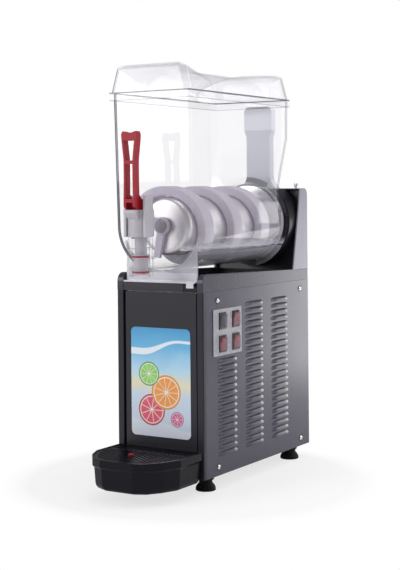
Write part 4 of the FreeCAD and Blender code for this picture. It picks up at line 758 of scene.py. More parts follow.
def merged_copy(node: str, name: str, coating: Coating, flat: float = 0.5) -> bpy.types.Object:
    """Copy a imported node's mesh with its triangles joined up again.

    Args:
        node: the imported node.
        name: name of the new piece.
        coating: its finish.
        flat: faces that meet at less than this many degrees become one.

    Returns:
        The new piece.
    """
    body = bmesh.new()
    body.from_mesh(frame["nodes"][node].data)
    bmesh.ops.remove_doubles(body, verts=body.verts, dist=1e-6)
    if flat:
        bmesh.ops.dissolve_limit(body, angle_limit=math.radians(flat), verts=body.verts, edges=body.edges)
    return new_piece(name, mesh_of(body, name), coating)


def mesh_from(name: str, points: Sequence[Vector], faces: Sequence[Sequence[int]]) -> bpy.types.Mesh:
    """A mesh from points and faces, with its faces turned outwards."""
    mesh = bpy.data.meshes.new(name)
    mesh.from_pydata([tuple(p) for p in points], [], [tuple(f) for f in faces])
    body = bmesh.new()
    body.from_mesh(mesh)
    bmesh.ops.remove_doubles(body, verts=body.verts, dist=1e-7)
    bmesh.ops.recalc_face_normals(body, faces=body.faces)
    body.to_mesh(mesh)
    body.free()
    return mesh


def lofted(name: str, rings: Sequence[Sequence[Vector]], capped: bool = True) -> bpy.types.Mesh:
    """A skin over closed rings of equally many points, capped at both ends if wished."""
    count = len(rings[0])
    points = [p for ring in rings for p in ring]
    faces = []
    for row in range(len(rings) - 1):
        for k in range(count):
            following = (k + 1) % count
            low, high = row * count, (row + 1) * count
            faces.append((low + k, low + following, high + following, high + k))
    if capped:
        faces.append(tuple(range(count)))
        faces.append(tuple(range(len(points) - count, len(points))))
    return mesh_from(name, points, faces)


def turned(name: str, profile: Sequence[tuple[float, float]], centre: Vector, axis: str,
           steps: int = 64) -> bpy.types.Mesh:
    """A turned form.

    Args:
        name: name of the mesh.
        profile: (radius, distance along the axis) pairs in mm.
        centre: where the axis starts, in metres.
        axis: "X", "Y" or "Z".
        steps: faces around.

    Returns:
        The mesh, closed at both ends.
    """
    rings = []
    for radius, along in profile:
        ring = []
        for k in range(steps):
            angle = 2 * math.pi * k / steps
            a, b = radius * MM * math.cos(angle), radius * MM * math.sin(angle)
            offset = {"X": (along * MM, a, b), "Y": (a, along * MM, b), "Z": (a, b, along * MM)}[axis]
            ring.append(centre + Vector(offset))
        rings.append(ring)
    return lofted(name, rings)


def slab(name: str, outline: Sequence[tuple[float, float]], lay: Callable[[float, float, float], Vector],
         near: float, far: float) -> bpy.types.Mesh:
    """A flat outline with thickness.

    Args:
        name: name of the mesh.
        outline: the outline's points in mm.
        lay: puts an outline point and a depth into place.
        near: depth of the first face in mm.
        far: depth of the second face in mm.

    Returns:
        The mesh.
    """
    return lofted(name, [[lay(a, b, depth) for a, b in outline] for depth in (near, far)])


def joined(name: str, meshes: Iterable[bpy.types.Mesh]) -> bpy.types.Mesh:
    """One mesh that holds several."""
    body = bmesh.new()
    for mesh in meshes:
        body.from_mesh(mesh)
    return mesh_of(body, name)


# Geometry node trees


class Repeats(Enum):
    """The node trees that repeat or sweep a shape."""

    ROWS = "rows_of_a_shape"
    AROUND = "shape_around_an_axis"
    SPIRAL = "spiral_band"


def start_tree(kind: Repeats, inputs: Sequence[tuple[str, str]]) -> tuple[bpy.types.NodeTree, Bench, Made]:
    """An empty geometry tree with its inputs and one output."""
    tree = bpy.data.node_groups.new(kind.value, "GeometryNodeTree")
    tree.is_modifier = True
    for name, kind_of_value in inputs:
        tree.interface.new_socket(name=name, in_out="INPUT", socket_type="NodeSocket" + kind_of_value)
    tree.interface.new_socket(name="Geometry", in_out="OUTPUT", socket_type="NodeSocketGeometry")
    bench = Bench(tree)
    return tree, bench, bench.node("NodeGroupInput")


def finish_tree(bench: Bench, instances: object, material: Term) -> None:
    """End a tree with plain geometry in one material."""
    real = bench.node("GeometryNodeRealizeInstances", None, {0: instances})
    dressed = bench.node("GeometryNodeSetMaterial", None, {"Geometry": real, "Material": material})
    bench.node("NodeGroupOutput", None, {0: dressed})


def rows_tree() -> bpy.types.NodeTree:
    """Rows and columns of one shape, by two steps from a start."""
    tree, bench, given = start_tree(Repeats.ROWS, [
        ("Shape", "Object"), ("Start", "Vector"), ("Rows", "Int"),
        ("Row Step", "Vector"), ("Columns", "Int"), ("Column Step", "Vector"),
        ("Material", "Material"),
    ])
    shape = bench.node("GeometryNodeObjectInfo", None, {"Object": given.out("Shape")}).out("Geometry")
    column = bench.node("GeometryNodeMeshLine", {"mode": "OFFSET"}, {
        "Count": given.out("Rows"), "Start Location": given.out("Start"), "Offset": given.out("Row Step")})
    heads = bench.node("GeometryNodeMeshLine", {"mode": "OFFSET"}, {
        "Count": given.out("Columns"), "Offset": given.out("Column Step")})
    first = bench.node("GeometryNodeInstanceOnPoints", None, {"Points": column, "Instance": shape})
    every = bench.node("GeometryNodeInstanceOnPoints", None, {"Points": heads, "Instance": first})
    finish_tree(bench, every, given.out("Material"))
    return tree


def around_tree() -> bpy.types.NodeTree:
    """One shape repeated around the axis along Z through a centre."""
    tree, bench, given = start_tree(Repeats.AROUND, [
        ("Shape", "Object"), ("Centre", "Vector"), ("Count", "Int"),
        ("Material", "Material"),
    ])
    shape = bench.node("GeometryNodeObjectInfo", None, {"Object": given.out("Shape")}).out("Geometry")
    points = bench.node("GeometryNodeMeshLine", {"mode": "OFFSET"}, {
        "Count": given.out("Count"), "Start Location": given.out("Centre"), "Offset": (0.0, 0.0, 0.0)})
    number = bench.node("GeometryNodeInputIndex").out()
    angle = number / given.out("Count") * (2.0 * math.pi)
    ring = bench.node("GeometryNodeInstanceOnPoints", None, {
        "Points": points, "Instance": shape, "Rotation": bench.join(0.0, 0.0, angle)})
    finish_tree(bench, ring, given.out("Material"))
    return tree


def spiral_tree() -> bpy.types.NodeTree:
    """A wide band wound about an axis along Y, level for its first part and then rising along the axis."""
    tree, bench, given = start_tree(Repeats.SPIRAL, [
        ("Centre", "Vector"), ("Radius", "Float"), ("Thickness", "Float"),
        ("Band", "Float"), ("Front", "Float"), ("Pitch", "Float"),
        ("Lead In", "Float"), ("Total", "Float"), ("Start Angle", "Float"),
        ("Steps", "Int"), ("Rounding", "Float"), ("Material", "Material"),
    ])
    line = bench.node("GeometryNodeCurvePrimitiveLine", None, {"End": (0.0, 0.0, 1.0)})
    steps = given.out("Steps")
    even = bench.node("GeometryNodeResampleCurve", {"mode": "COUNT"}, {"Curve": line, "Count": steps})
    number = bench.node("GeometryNodeInputIndex").out()
    wound = number / (steps - 1.0) * given.out("Total")
    angle = given.out("Start Angle") - wound
    risen = (wound - given.out("Lead In")).at_least(0.0)
    along = given.out("Front") + given.out("Pitch") * risen / (2 * math.pi)
    radius = given.out("Radius")
    place = bench.join(radius * angle.cosine(), radius * angle.sine(), -1.0 * along)
    path = bench.node("GeometryNodeSetPosition", None, {"Geometry": even, "Position": place})
    upright = bench.node("GeometryNodeSetCurveNormal", {"mode": "Z_UP"}, {0: path})
    section = bench.node("GeometryNodeCurvePrimitiveQuadrilateral", None, {
        "Width": given.out("Thickness"), "Height": given.out("Band")})
    rounded = bench.node("GeometryNodeFilletCurve", {"mode": "POLY"}, {
        "Curve": section, "Radius": given.out("Rounding"), "Count": 3})
    band = bench.node("GeometryNodeCurveToMesh", None, {
        "Curve": upright, "Profile Curve": rounded, "Fill Caps": True})
    laid = bench.node("GeometryNodeTransform", None, {
        "Geometry": band, "Rotation": (math.pi / 2, 0.0, 0.0), "Translation": given.out("Centre")})
    finish_tree(bench, laid, given.out("Material"))
    return tree


TREES: dict[Repeats, Callable[[], bpy.types.NodeTree]] = {
    Repeats.ROWS: rows_tree,
    Repeats.AROUND: around_tree,
    Repeats.SPIRAL: spiral_tree,
}


def repeated(kind: Repeats, name: str, coating: Coating, values: dict[str, object]) -> bpy.types.Mesh:
    """Run a geometry tree once and keep its result as plain mesh.

    Args:
        kind: which tree.
        name: name of the mesh.
        coating: its finish.
        values: the tree's inputs by name.

    Returns:
        The plain mesh.
    """
    tree = bpy.data.node_groups.get(kind.value) or TREES[kind]()
    carrier = new_piece(name, bpy.data.meshes.new(name), coating)
    modifier = carrier.modifiers.new(kind.value, "NODES")
    modifier.node_group = tree
    for item in tree.interface.items_tree:
        if item.item_type == "SOCKET" and item.in_out == "INPUT":
            value = coating.material if item.name == "Material" else values[item.name]
            modifier[item.identifier] = value
    settle(carrier)
    mesh = carrier.data
    bpy.data.objects.remove(carrier)
    return mesh


def mirrored(mesh: bpy.types.Mesh) -> bpy.types.Mesh:
    """Turn a mesh into its mirror image across the machine's middle plane."""
    mesh.transform(Matrix.Scale(-1.0, 4, (1.0, 0.0, 0.0)))
    mesh.flip_normals()
    return mesh


def discard(shape: bpy.types.Object) -> None:
    """Remove a shape that was only there to be repeated."""
    bpy.data.objects.remove(shape)


# Sub-assemblies


@dataclass
class Assembly:
    """A group of pieces that is dressed together."""

    def dress(self) -> None:
        """Build and place the pieces."""
        raise NotImplementedError

    def mount(self, piece: bpy.types.Object, nodes: Sequence[str], slot: str) -> bpy.types.Object:
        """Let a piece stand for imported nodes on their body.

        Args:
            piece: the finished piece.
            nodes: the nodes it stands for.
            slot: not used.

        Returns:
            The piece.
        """
        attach(piece, frame["nodes"][nodes[0]]["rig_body"])
        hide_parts(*nodes)
        log.info("piece %s stands for %s", piece.name, ", ".join(nodes))
        return piece

    def shaded(self, node: str, slot: str, coating: Coating, mesh: bpy.types.Mesh,
               sharp: float) -> bpy.types.Object:
        """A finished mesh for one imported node, shaded smooth up to an angle in degrees."""
        piece = new_piece(node + "_dressed", mesh, coating)
        mesh.shade_smooth()
        mesh.set_sharp_from_angle(angle=math.radians(sharp))
        return self.mount(piece, [node], slot)

    def softened(self, node: str, slot: str, coating: Coating, width: float, steps: int = 2,
                 limit: float = SHARP_EDGE, flat: float = 0.5) -> bpy.types.Object:
        """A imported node's form with rounded edges and its finish."""
        piece = merged_copy(node, node + "_dressed", coating, flat)
        soften(piece, width, steps, limit)
        return self.mount(piece, [node], slot)

    def coat(self, node: str, coating: Coating) -> None:
        """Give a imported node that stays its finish."""
        mesh = frame["nodes"][node].data
        mesh.materials.clear()
        mesh.materials.append(coating.material)
        log.info("node %s is %s", node, coating.value.name)


@dataclass
class Cabinet(Assembly):
    """The louvred cabinet with its posts, panels, picture and feet."""

    half_width: float = 100.0
    depth: float = 440.0
    front_lap: float = 9.0
    bottom: float = 28.5
    top: float = 387.5
    sheet: float = 1.0
    louvre_length: float = 75.0
    louvre_height: float = 8.0
    louvre_reach: float = 3.6
    louvre_pitch: float = 12.95
    louvre_lowest: float = 66.0
    column_starts: tuple[float, float, float] = (53.0, 161.0, 269.5)
    short_rows: int = 15
    full_rows: int = 23
    rear_rows: int = 20
    rear_length: float = 150.0
    rear_lowest: float = 91.0
    window: tuple[float, float, float, float] = (40.5, 139.5, 265.9, 346.9)
    screw_places: tuple[float, float] = (53.8, 400.3)
    screw_heights: tuple[float, float] = (45.2, 369.3)
    screw_radius: float = 5.0
    screw_dome: float = 2.4
    screw_lap: float = 0.3
    screw_seat: float = 0.6
    screw_sharp: float = 40.0
    rear_screw_across: float = 92.5
    rear_half: float = 98.7
    rear_bottom: float = 30.0
    gland_hole: tuple[float, float, float, float] = (-67.8, -52.2, 64.2, 79.8)
    slot_edge: float = 3.0
    slot_share: float = 0.8
    foot_across: float = 75.0
    foot_places: tuple[float, float] = (45.0, 394.0)
    foot_ribs: int = 16
    picture_half: float = 69.0
    picture_heights: tuple[float, float] = (103.0, 316.0)
    picture_corner: float = 10.0

    def hood(self, length: float, wall: float) -> bpy.types.Mesh:
        """One pressed louvre as a thin hood at the origin, running along Y and standing out along X."""
        around, over = 9, 4
        skins = []
        for inset in (0.0, wall):
            rows = []
            for j in range(over + 1):
                angle = math.pi / 2 * j / over
                row = []
                for i in range(around + 1):
                    share = 2.0 * i / around - 1.0
                    reach = math.sqrt(max(0.0, 1.0 - abs(share) ** 5))
                    y = length / 2 + share * (length / 2 - inset)
                    x = (self.louvre_reach - inset) * math.sin(angle) * reach
                    z = (self.louvre_height - inset) * (math.cos(angle) * (0.35 + 0.65 * reach))
                    row.append(Vector((x * MM, y * MM, z * MM)))
                rows.append(row)
            skins.append(rows)
        points = [p for rows in skins for row in rows for p in row]
        stride = around + 1
        size = stride * (over + 1)
        faces = []
        for j in range(over):
            for i in range(around):
                a = j * stride + i
                b = a + stride
                faces.append((a, a + 1, b + 1, b))
                faces.append((size + a, size + b, size + b + 1, size + a + 1))
        lip = over * stride
        for i in range(around):
            faces.append((lip + i, lip + i + 1, size + lip + i + 1, size + lip + i))
        return mesh_from("louvre_hood", points, faces)

    def louvres(self, name: str, starts: Sequence[float], rows: int, lowest: float,
                length: float) -> bpy.types.Mesh:
        """Columns of louvres on the plane x = 0, as plain mesh."""
        shape = new_piece("hood_shape", self.hood(length, self.sheet), Coating.SIDE_PAINT)
        step = (starts[1] - starts[0]) if len(starts) > 1 else 0.0
        mesh = repeated(Repeats.ROWS, name, Coating.SIDE_PAINT, {
            "Shape": shape, "Start": at(0.0, starts[0], lowest), "Rows": rows,
            "Row Step": (0.0, 0.0, self.louvre_pitch * MM), "Columns": len(starts),
            "Column Step": (0.0, step * MM, 0.0)})
        discard(shape)
        return mesh

    def pierced_sheet(self, name: str, holes: Sequence[tuple[float, float, float, float]],
                      span: tuple[float, float, float, float]) -> bpy.types.Mesh:
        """A sheet on the plane x = 0 with rectangular holes.

        Args:
            name: name of the mesh.
            holes: (start, end, low, high) of each hole in mm.
            span: the same for the sheet itself.

        Returns:
            The sheet with its thickness behind the plane.
        """
        ys = sorted({span[0], span[1], *(h[0] for h in holes), *(h[1] for h in holes)})
        zs = sorted({span[2], span[3], *(h[2] for h in holes), *(h[3] for h in holes)})
        open_cells = set()
        for y0, y1, z0, z1 in holes:
            for i in range(ys.index(y0), ys.index(y1)):
                for j in range(zs.index(z0), zs.index(z1)):
                    open_cells.add((i, j))
        body = bmesh.new()
        corners = [[body.verts.new(at(0.0, y, z)) for z in zs] for y in ys]
        for i in range(len(ys) - 1):
            for j in range(len(zs) - 1):
                if (i, j) not in open_cells:
                    near, far = corners[i], corners[i + 1]
                    body.faces.new((near[j], far[j], far[j + 1], near[j + 1]))
        bmesh.ops.delete(body, geom=[v for v in body.verts if not v.link_faces], context="VERTS")
        bmesh.ops.dissolve_limit(body, angle_limit=0.01, verts=body.verts, edges=body.edges)
        front = list(body.faces)
        grown = bmesh.ops.extrude_face_region(body, geom=front)
        moved = [g for g in grown["geom"] if isinstance(g, bmesh.types.BMVert)]
        bmesh.ops.translate(body, verts=moved, vec=(-self.sheet * MM, 0.0, 0.0))
        bmesh.ops.recalc_face_normals(body, faces=body.faces)
        return mesh_of(body, name)

    def slot_holes(self, start: float, rows: int, lowest: float, length: float) -> list[tuple[float, ...]]:
        """The sheet's holes behind one column of louvres."""
        edge = self.slot_edge
        height = self.louvre_height * self.slot_share
        holes = []
        for k in range(rows):
            low = lowest + k * self.louvre_pitch
            holes.append((start + edge, start + length - edge, low, low + height))
        return holes

    def side_panel(self, node: str, left: bool, first_rows: int) -> None:
        """One side panel with its three columns of louvres; the right one has the switches' window."""
        starts = self.column_starts
        holes = self.slot_holes(starts[0], first_rows, self.louvre_lowest, self.louvre_length)
        for start in starts[1:]:
            holes += self.slot_holes(start, self.full_rows, self.louvre_lowest, self.louvre_length)
        if not left:
            holes.append(self.window)
        span = (self.front_lap, self.depth, self.bottom, self.top)
        meshes = [
            self.pierced_sheet(node + "_sheet", holes, span),
            self.louvres(node + "_first", starts[:1], first_rows, self.louvre_lowest, self.louvre_length),
            self.louvres(node + "_rest", starts[1:], self.full_rows, self.louvre_lowest, self.louvre_length),
        ]
        mesh = joined(node + "_dressed", meshes)
        mesh.transform(Matrix.Translation((self.half_width * MM, 0.0, 0.0)))
        if left:
            mirrored(mesh)
        self.shaded(node, "grey_paint", Coating.SIDE_PAINT, mesh, SHARP_EDGE)

    def to_back(self, mesh: bpy.types.Mesh) -> bpy.types.Mesh:
        """Turn a mesh from the plane x = 0 onto the cabinet's back."""
        mesh.transform(Matrix.Rotation(math.pi / 2, 4, "Z"))
        mesh.transform(Matrix.Translation((0.0, (self.depth - FRONT_OFFSET) * MM, 0.0)))
        return mesh

    def rear_panel(self) -> None:
        """The rear panel with one wide column of louvres."""
        start = -self.rear_length / 2
        slots = self.slot_holes(start, self.rear_rows, self.rear_lowest, self.rear_length)
        holes = [(a + FRONT_OFFSET, b + FRONT_OFFSET, c, d) for a, b, c, d in [*slots, self.gland_hole]]
        span = (FRONT_OFFSET - self.rear_half, FRONT_OFFSET + self.rear_half, self.rear_bottom, self.top)
        meshes = [
            self.pierced_sheet("rear_sheet", holes, span),
            self.louvres("rear_louvres", [start + FRONT_OFFSET], self.rear_rows, self.rear_lowest,
                         self.rear_length),
        ]
        mesh = self.to_back(joined("rear_panel_dressed", meshes))
        self.shaded("rear_panel", "grey_paint", Coating.SIDE_PAINT, mesh, SHARP_EDGE)

    def screw_shape(self) -> bpy.types.Mesh:
        """A domed screw head along X with its crossed recess."""
        steps = 6
        ball = (self.screw_radius ** 2 + self.screw_dome ** 2) / (2 * self.screw_dome)
        profile = [(TIP, -self.screw_lap), (self.screw_radius, -self.screw_lap), (self.screw_radius, 0.0)]
        widest = math.asin(self.screw_radius / ball)
        for k in range(1, steps):
            angle = widest * (1 - k / steps)
            profile.append((ball * math.sin(angle), self.screw_dome - ball * (1 - math.cos(angle))))
        recess = ((1.9, 0.15), (1.5, 1.3), (TIP, 1.6))
        profile += [(radius, self.screw_dome - sunk) for radius, sunk in recess]
        return turned("screw_head", profile, Vector((0.0, 0.0, 0.0)), "X", steps=20)

    def screws(self) -> None:
        """The screws of the side panels and the rear panel."""
        shape = new_piece("screw_shape", self.screw_shape(), Coating.CHROME)
        across = self.screw_places[1] - self.screw_places[0]
        up = self.screw_heights[1] - self.screw_heights[0]
        common = {"Shape": shape, "Rows": 2, "Row Step": (0.0, 0.0, up * MM), "Columns": 2}
        side = repeated(Repeats.ROWS, "side_screws", Coating.CHROME, {
            **common, "Start": at(0.0, self.screw_places[0], self.screw_heights[0]),
            "Column Step": (0.0, across * MM, 0.0)})
        rear = repeated(Repeats.ROWS, "rear_screws", Coating.CHROME, {
            **common, "Start": at(0.0, FRONT_OFFSET - self.rear_screw_across, self.screw_heights[0]),
            "Column Step": (0.0, 2 * self.rear_screw_across * MM, 0.0)})
        discard(shape)
        left = side.copy()
        seat = (self.half_width + self.screw_seat) * MM
        side.transform(Matrix.Translation((seat, 0.0, 0.0)))
        left.transform(Matrix.Translation((seat, 0.0, 0.0)))
        mesh = joined("panel_screws_dressed", [side, mirrored(left), self.to_back(rear)])
        self.shaded("panel_screws", "bright_chrome", Coating.CHROME, mesh, self.screw_sharp)

    def feet(self) -> None:
        """Four rubber bells with ribs around their skirts."""
        profile = [
            (TIP, 0.0), (18.6, 0.0), (19.6, 0.8), (19.8, 2.0), (19.2, 5.0), (17.2, 9.0), (14.6, 12.5),
            (13.2, 15.0), (13.0, 18.5), (14.2, 20.2), (16.0, 21.2), (16.4, 22.2), (16.4, 28.4), (4.0, 28.5),
            (4.0, 40.5), (TIP, 40.5),
        ]
        rib_outline = [(14.0, 1.2), (19.95, 1.2), (19.7, 5.6), (17.8, 9.4), (15.2, 12.8), (13.4, 15.0),
                       (12.0, 12.0)]
        rib = slab("rib", rib_outline, lambda a, b, d: Vector((a * MM, d * MM, b * MM)), -0.8, 0.8)
        shape = new_piece("rib_shape", rib, Coating.RUBBER)
        meshes = []
        for side in (-self.foot_across, self.foot_across):
            for behind in self.foot_places:
                centre = at(side, behind, 0.0)
                meshes.append(turned("bell", profile, centre, "Z", steps=48))
                meshes.append(repeated(Repeats.AROUND, "ribs", Coating.RUBBER,
                                       {"Shape": shape, "Centre": centre, "Count": self.foot_ribs}))
        discard(shape)
        self.shaded("feet", "black_rubber", Coating.RUBBER, joined("feet_dressed", meshes), TURNED_EDGE)

    def picture(self) -> None:
        """The picture window with its rounded corners."""
        half, radius = self.picture_half, self.picture_corner
        low, high = self.picture_heights
        outline = []
        for cx, cz, start in ((half - radius, low + radius, -90.0), (half - radius, high - radius, 0.0),
                              (-half + radius, high - radius, 90.0), (-half + radius, low + radius, 180.0)):
            for k in range(9):
                angle = math.radians(start + 90.0 * k / 8)
                outline.append((cx + radius * math.cos(angle), cz + radius * math.sin(angle)))
        mesh = slab("picture_panel_dressed", outline, lambda a, b, d: at(a, d, b), 2.0, 3.0)
        piece = new_piece("picture_panel_dressed", mesh, Coating.PICTURE)
        soften(piece, 0.3)
        self.mount(piece, ["picture_panel"], "picture_print")

    def dress(self) -> None:
        """Build the cabinet's pieces."""
        self.side_panel("side_panel_right", False, self.short_rows)
        self.side_panel("side_panel_left", True, self.full_rows)
        self.rear_panel()
        self.screws()
        self.feet()
        self.picture()
        self.softened("front_panel", "dark_paint", Coating.FRONT_PAINT, 0.5)
        for node in ("front_post_right", "front_post_left"):
            self.softened(node, "black_plastic", Coating.POST_PLASTIC, 0.6)
        for node in ("base_pan", "rear_posts", "top_deck"):
            self.coat(node, Coating.ZINC)
        self.coat("front_bulkhead", Coating.FRONT_PAINT)
        self.coat("side_screw_washers", Coating.RUBBER)
        self.coat("cable_gland", Coating.BLACK_PLASTIC)


@dataclass
class Switches(Assembly):
    """The switch plate with its rocker switches under clear boots."""

    rounding: float = 1.0

    def dress(self) -> None:
        """Dress the plate and the switches."""
        self.softened("switch_plate", "pale_paint", Coating.PLATE_PAINT, 0.3)
        self.softened("switch_housings", "black_plastic", Coating.BLACK_PLASTIC, 0.3)
        self.softened("switch_boots", "clear_boot", Coating.CLEAR_BOOT, self.rounding, steps=3)
        self.softened("rocker_1", "black_plastic", Coating.BLACK_PLASTIC, 0.4)
        for number in (2, 3, 4):
            self.softened("rocker_%d" % number, "red_plastic", Coating.RED_LENS, 0.4)


@dataclass
class TopWorks(Assembly):
    """The rails, trim, deck tray, tower, knob and light column."""

    knob_across: float = 80.0
    knob_behind: float = 427.0
    knurls: int = 24

    def column(self) -> None:
        """The milky column, softened all round, and the lamp board inside it."""
        self.softened("light_column", "milky_plastic", Coating.MILKY_PLASTIC, 2.0, steps=3, limit=25.0)
        self.coat("lamp_board", Coating.GREEN_BOARD)

    def knob(self) -> None:
        """The chromed knob with knurls around its head, and its nut."""
        centre = at(self.knob_across, self.knob_behind, 0.0)
        profile = [(TIP, 553.0), (2.0, 553.0), (2.0, 587.3), (3.0, 587.3), (3.0, 590.4), (3.9, 590.5),
                   (4.2, 591.2), (4.2, 597.6), (3.6, 598.4), (TIP, 598.5)]
        body = turned("knob_body", profile, centre, "Z", steps=32)
        rib = slab("knurl", [(3.8, 591.4), (4.48, 591.8), (4.48, 597.0), (3.8, 597.5)],
                   lambda a, b, d: Vector((a * MM, d * MM, b * MM)), -0.22, 0.22)
        shape = new_piece("knurl_shape", rib, Coating.CHROME)
        knurls = repeated(Repeats.AROUND, "knurls", Coating.CHROME,
                          {"Shape": shape, "Centre": centre, "Count": self.knurls})
        discard(shape)
        mesh = joined("consistency_knob_dressed", [body, knurls])
        self.shaded("consistency_knob", "bright_chrome", Coating.CHROME, mesh, TURNED_EDGE)
        self.coat("consistency_nut", Coating.STEEL)

    def dress(self) -> None:
        """Build the pieces on top of the cabinet."""
        for node in ("side_rail_right", "side_rail_left"):
            self.softened(node, "grey_plastic", Coating.RAIL_PLASTIC, 1.6, steps=3)
        self.softened("front_trim", "grey_plastic", Coating.TRIM_PLASTIC, 1.0)
        self.softened("bowl_catch", "black_plastic", Coating.BLACK_PLASTIC, 0.8)
        self.softened("deck_tray", "grey_plastic", Coating.BLACK_PLASTIC, 0.6)
        self.softened("tower_cover", "pale_paint", Coating.TOWER_PAINT, 0.5)
        self.softened("tower_front", "black_plastic", Coating.BLACK_PLASTIC, 0.8)
        self.knob()
        self.column()


@dataclass
class ChillAndStir(Assembly):
    """The drum, its ring and seals, the drive shaft and the spiral auger."""

    drum_radius: float = 58.0
    drum_front: float = 20.0
    drum_rear: float = 350.0
    drum_bore: float = 8.4
    shoulder: float = 12.0
    shoulder_steps: int = 10
    auger_inner: float = 59.8
    auger_outer: float = 78.0
    band: float = 36.0
    pitch: float = 113.0
    auger_front: float = 10.0
    lead_in: float = 88.0
    start_angle: float = 200.0
    rear_gap: float = 6.0
    hub_bore: float = 8.0
    hub_radius: float = 17.0
    hub_front: float = 7.0
    hub_rear: float = 17.0
    arm_width: float = 17.0
    arm_thickness: float = 8.0
    arm_angles: tuple[float, float] = (-101.0, 160.0)
    auger_sharp: float = 50.0

    def drum(self) -> None:
        """The stainless drum with its rounded front shoulder."""
        bore, face, front = self.drum_bore, self.drum_radius - self.shoulder, self.drum_front
        profile = [(bore, front + 3.0), (bore, front), (face, front)]
        for k in range(1, self.shoulder_steps + 1):
            angle = math.pi / 2 * k / self.shoulder_steps
            profile.append((face + self.shoulder * math.sin(angle),
                            front + self.shoulder * (1 - math.cos(angle))))
        profile += [(self.drum_radius, self.drum_rear), (bore, self.drum_rear)]
        mesh = turned("evaporator_drum_dressed", profile, at(0.0, 0.0, AXIS_HEIGHT), "Y", steps=128)
        self.shaded("evaporator_drum", "stainless", Coating.DRUM_STEEL, mesh, TURNED_EDGE)

    def arm(self, angle: float) -> bpy.types.Mesh:
        """One arm from the hub to the spiral."""
        half = self.arm_width / 2
        near = self.hub_front + 2.0
        reach, narrow = self.auger_inner + 3.0, half * 0.8
        outline = [(4.0, -half), (reach, -narrow), (reach, narrow), (4.0, half)]
        turn = Matrix.Rotation(math.radians(-angle), 4, "Y")

        def lay(a: float, b: float, depth: float) -> Vector:
            """Put an outline point onto the arm's own turn."""
            return turn @ Vector((a * MM, 0.0, b * MM)) + at(0.0, depth, AXIS_HEIGHT)

        return slab("auger_arm", outline, lay, near, near + self.arm_thickness)

    def auger(self) -> None:
        """The spiral, its hub and arms."""
        last_front = self.drum_rear - self.rear_gap - self.band
        total = self.lead_in + (last_front - self.auger_front) / self.pitch * 360.0
        lean = math.atan(self.pitch / (math.pi * (self.auger_inner + self.auger_outer)))
        spiral = repeated(Repeats.SPIRAL, "auger_spiral", Coating.AUGER_PLASTIC, {
            "Centre": at(0.0, 0.0, AXIS_HEIGHT),
            "Radius": (self.auger_inner + self.auger_outer) / 2 * MM,
            "Thickness": (self.auger_outer - self.auger_inner) * MM,
            "Band": self.band * math.cos(lean) * MM,
            "Front": (self.auger_front + self.band / 2) * MM,
            "Pitch": self.pitch * MM,
            "Lead In": math.radians(self.lead_in),
            "Total": math.radians(total),
            "Start Angle": math.radians(self.start_angle),
            "Steps": int(total / 2.5),
            "Rounding": 2.2 * MM,
        })
        bore, radius, front, rear = self.hub_bore, self.hub_radius, self.hub_front, self.hub_rear
        hub = turned("auger_hub", [
            (bore, front), (radius - 1.5, front), (radius, front + 1.5),
            (radius, rear - 1.0), (radius - 1.0, rear), (bore, rear),
        ], at(0.0, 0.0, AXIS_HEIGHT), "Y", steps=48)
        arms = [self.arm(angle) for angle in self.arm_angles]
        mesh = joined("auger_dressed", [spiral, hub, *arms])
        self.shaded("auger", "auger_plastic", Coating.AUGER_PLASTIC, mesh, self.auger_sharp)

    def dress(self) -> None:
        """Build the drum and the drive."""
        self.drum()
        self.auger()
        self.softened("auger_nut", "grey_plastic", Coating.HUB_PLASTIC, 0.0)
        self.softened("drum_flange", "stainless", Coating.STEEL, 1.0)
        self.softened("bowl_gasket", "black_rubber", Coating.SILICONE, 0.8)
        self.softened("shaft_seal", "black_rubber", Coating.RUBBER, 0.3)
        self.coat("drive_shaft", Coating.STEEL)
        self.coat("gearmotor", Coating.ALUMINIUM)


@dataclass
class BowlAndLid(Assembly):
    """The clear bowl and its lid."""

    def dress(self) -> None:
        """Dress the bowl and the lid."""
        self.softened("bowl", "clear_plastic", Coating.CLEAR, 0.0, flat=0.0)
        self.softened("lid", "clear_plastic", Coating.CLEAR_LID, 0.0, flat=0.0)


@dataclass
class Tap(Assembly):
    """The tap's head, piston, rings, spring, pin and pull handle."""

    spring_top: float = 543.9
    spring_keep: float = 0.45

    def dress(self) -> None:
        """Dress the tap and give its spring a mesh of its own."""
        self.softened("tap_body", "white_plastic", Coating.WHITE_PLASTIC, 0.8)
        self.softened("tap_piston", "white_plastic", Coating.WHITE_PLASTIC, 0.4)
        self.softened("tap_handle", "red_plastic", Coating.RED_PLASTIC, 1.6, steps=3)
        self.coat("tap_rings", Coating.RED_RUBBER)
        spring = self.softened("tap_spring", "stainless", Coating.STEEL, 0.0, flat=0.0)
        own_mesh(spring)
        self.coat("tap_pin", Coating.STEEL)


@dataclass
class DripTray(Assembly):
    """The drip tray, its grille, float and bracket."""

    def dress(self) -> None:
        """Dress the tray."""
        self.softened("drip_tray", "black_plastic", Coating.TRAY_PLASTIC, 0.9, steps=3, limit=30.0)
        self.softened("tray_grille", "black_plastic", Coating.TRAY_PLASTIC, 0.0, flat=0.0)
        self.softened("tray_float", "red_plastic", Coating.RED_PLASTIC, 0.3)
        self.coat("tray_bracket", Coating.STEEL)


@dataclass
class Refrigeration(Assembly):
    """What lies inside the cabinet."""

    def dress(self) -> None:
        """Give the inner pieces their finishes."""
        self.coat("condenser", Coating.ALUMINIUM)
        self.coat("fan_shroud", Coating.BLACK_PLASTIC)
        self.coat("fan_motor", Coating.DARK_STEEL)
        self.coat("fan_blade", Coating.BLACK_PLASTIC)
        self.coat("compressor", Coating.FRONT_PAINT)
        self.coat("control_box", Coating.HUB_PLASTIC)
        self.coat("refrigerant_pipes", Coating.COPPER)


# The studio


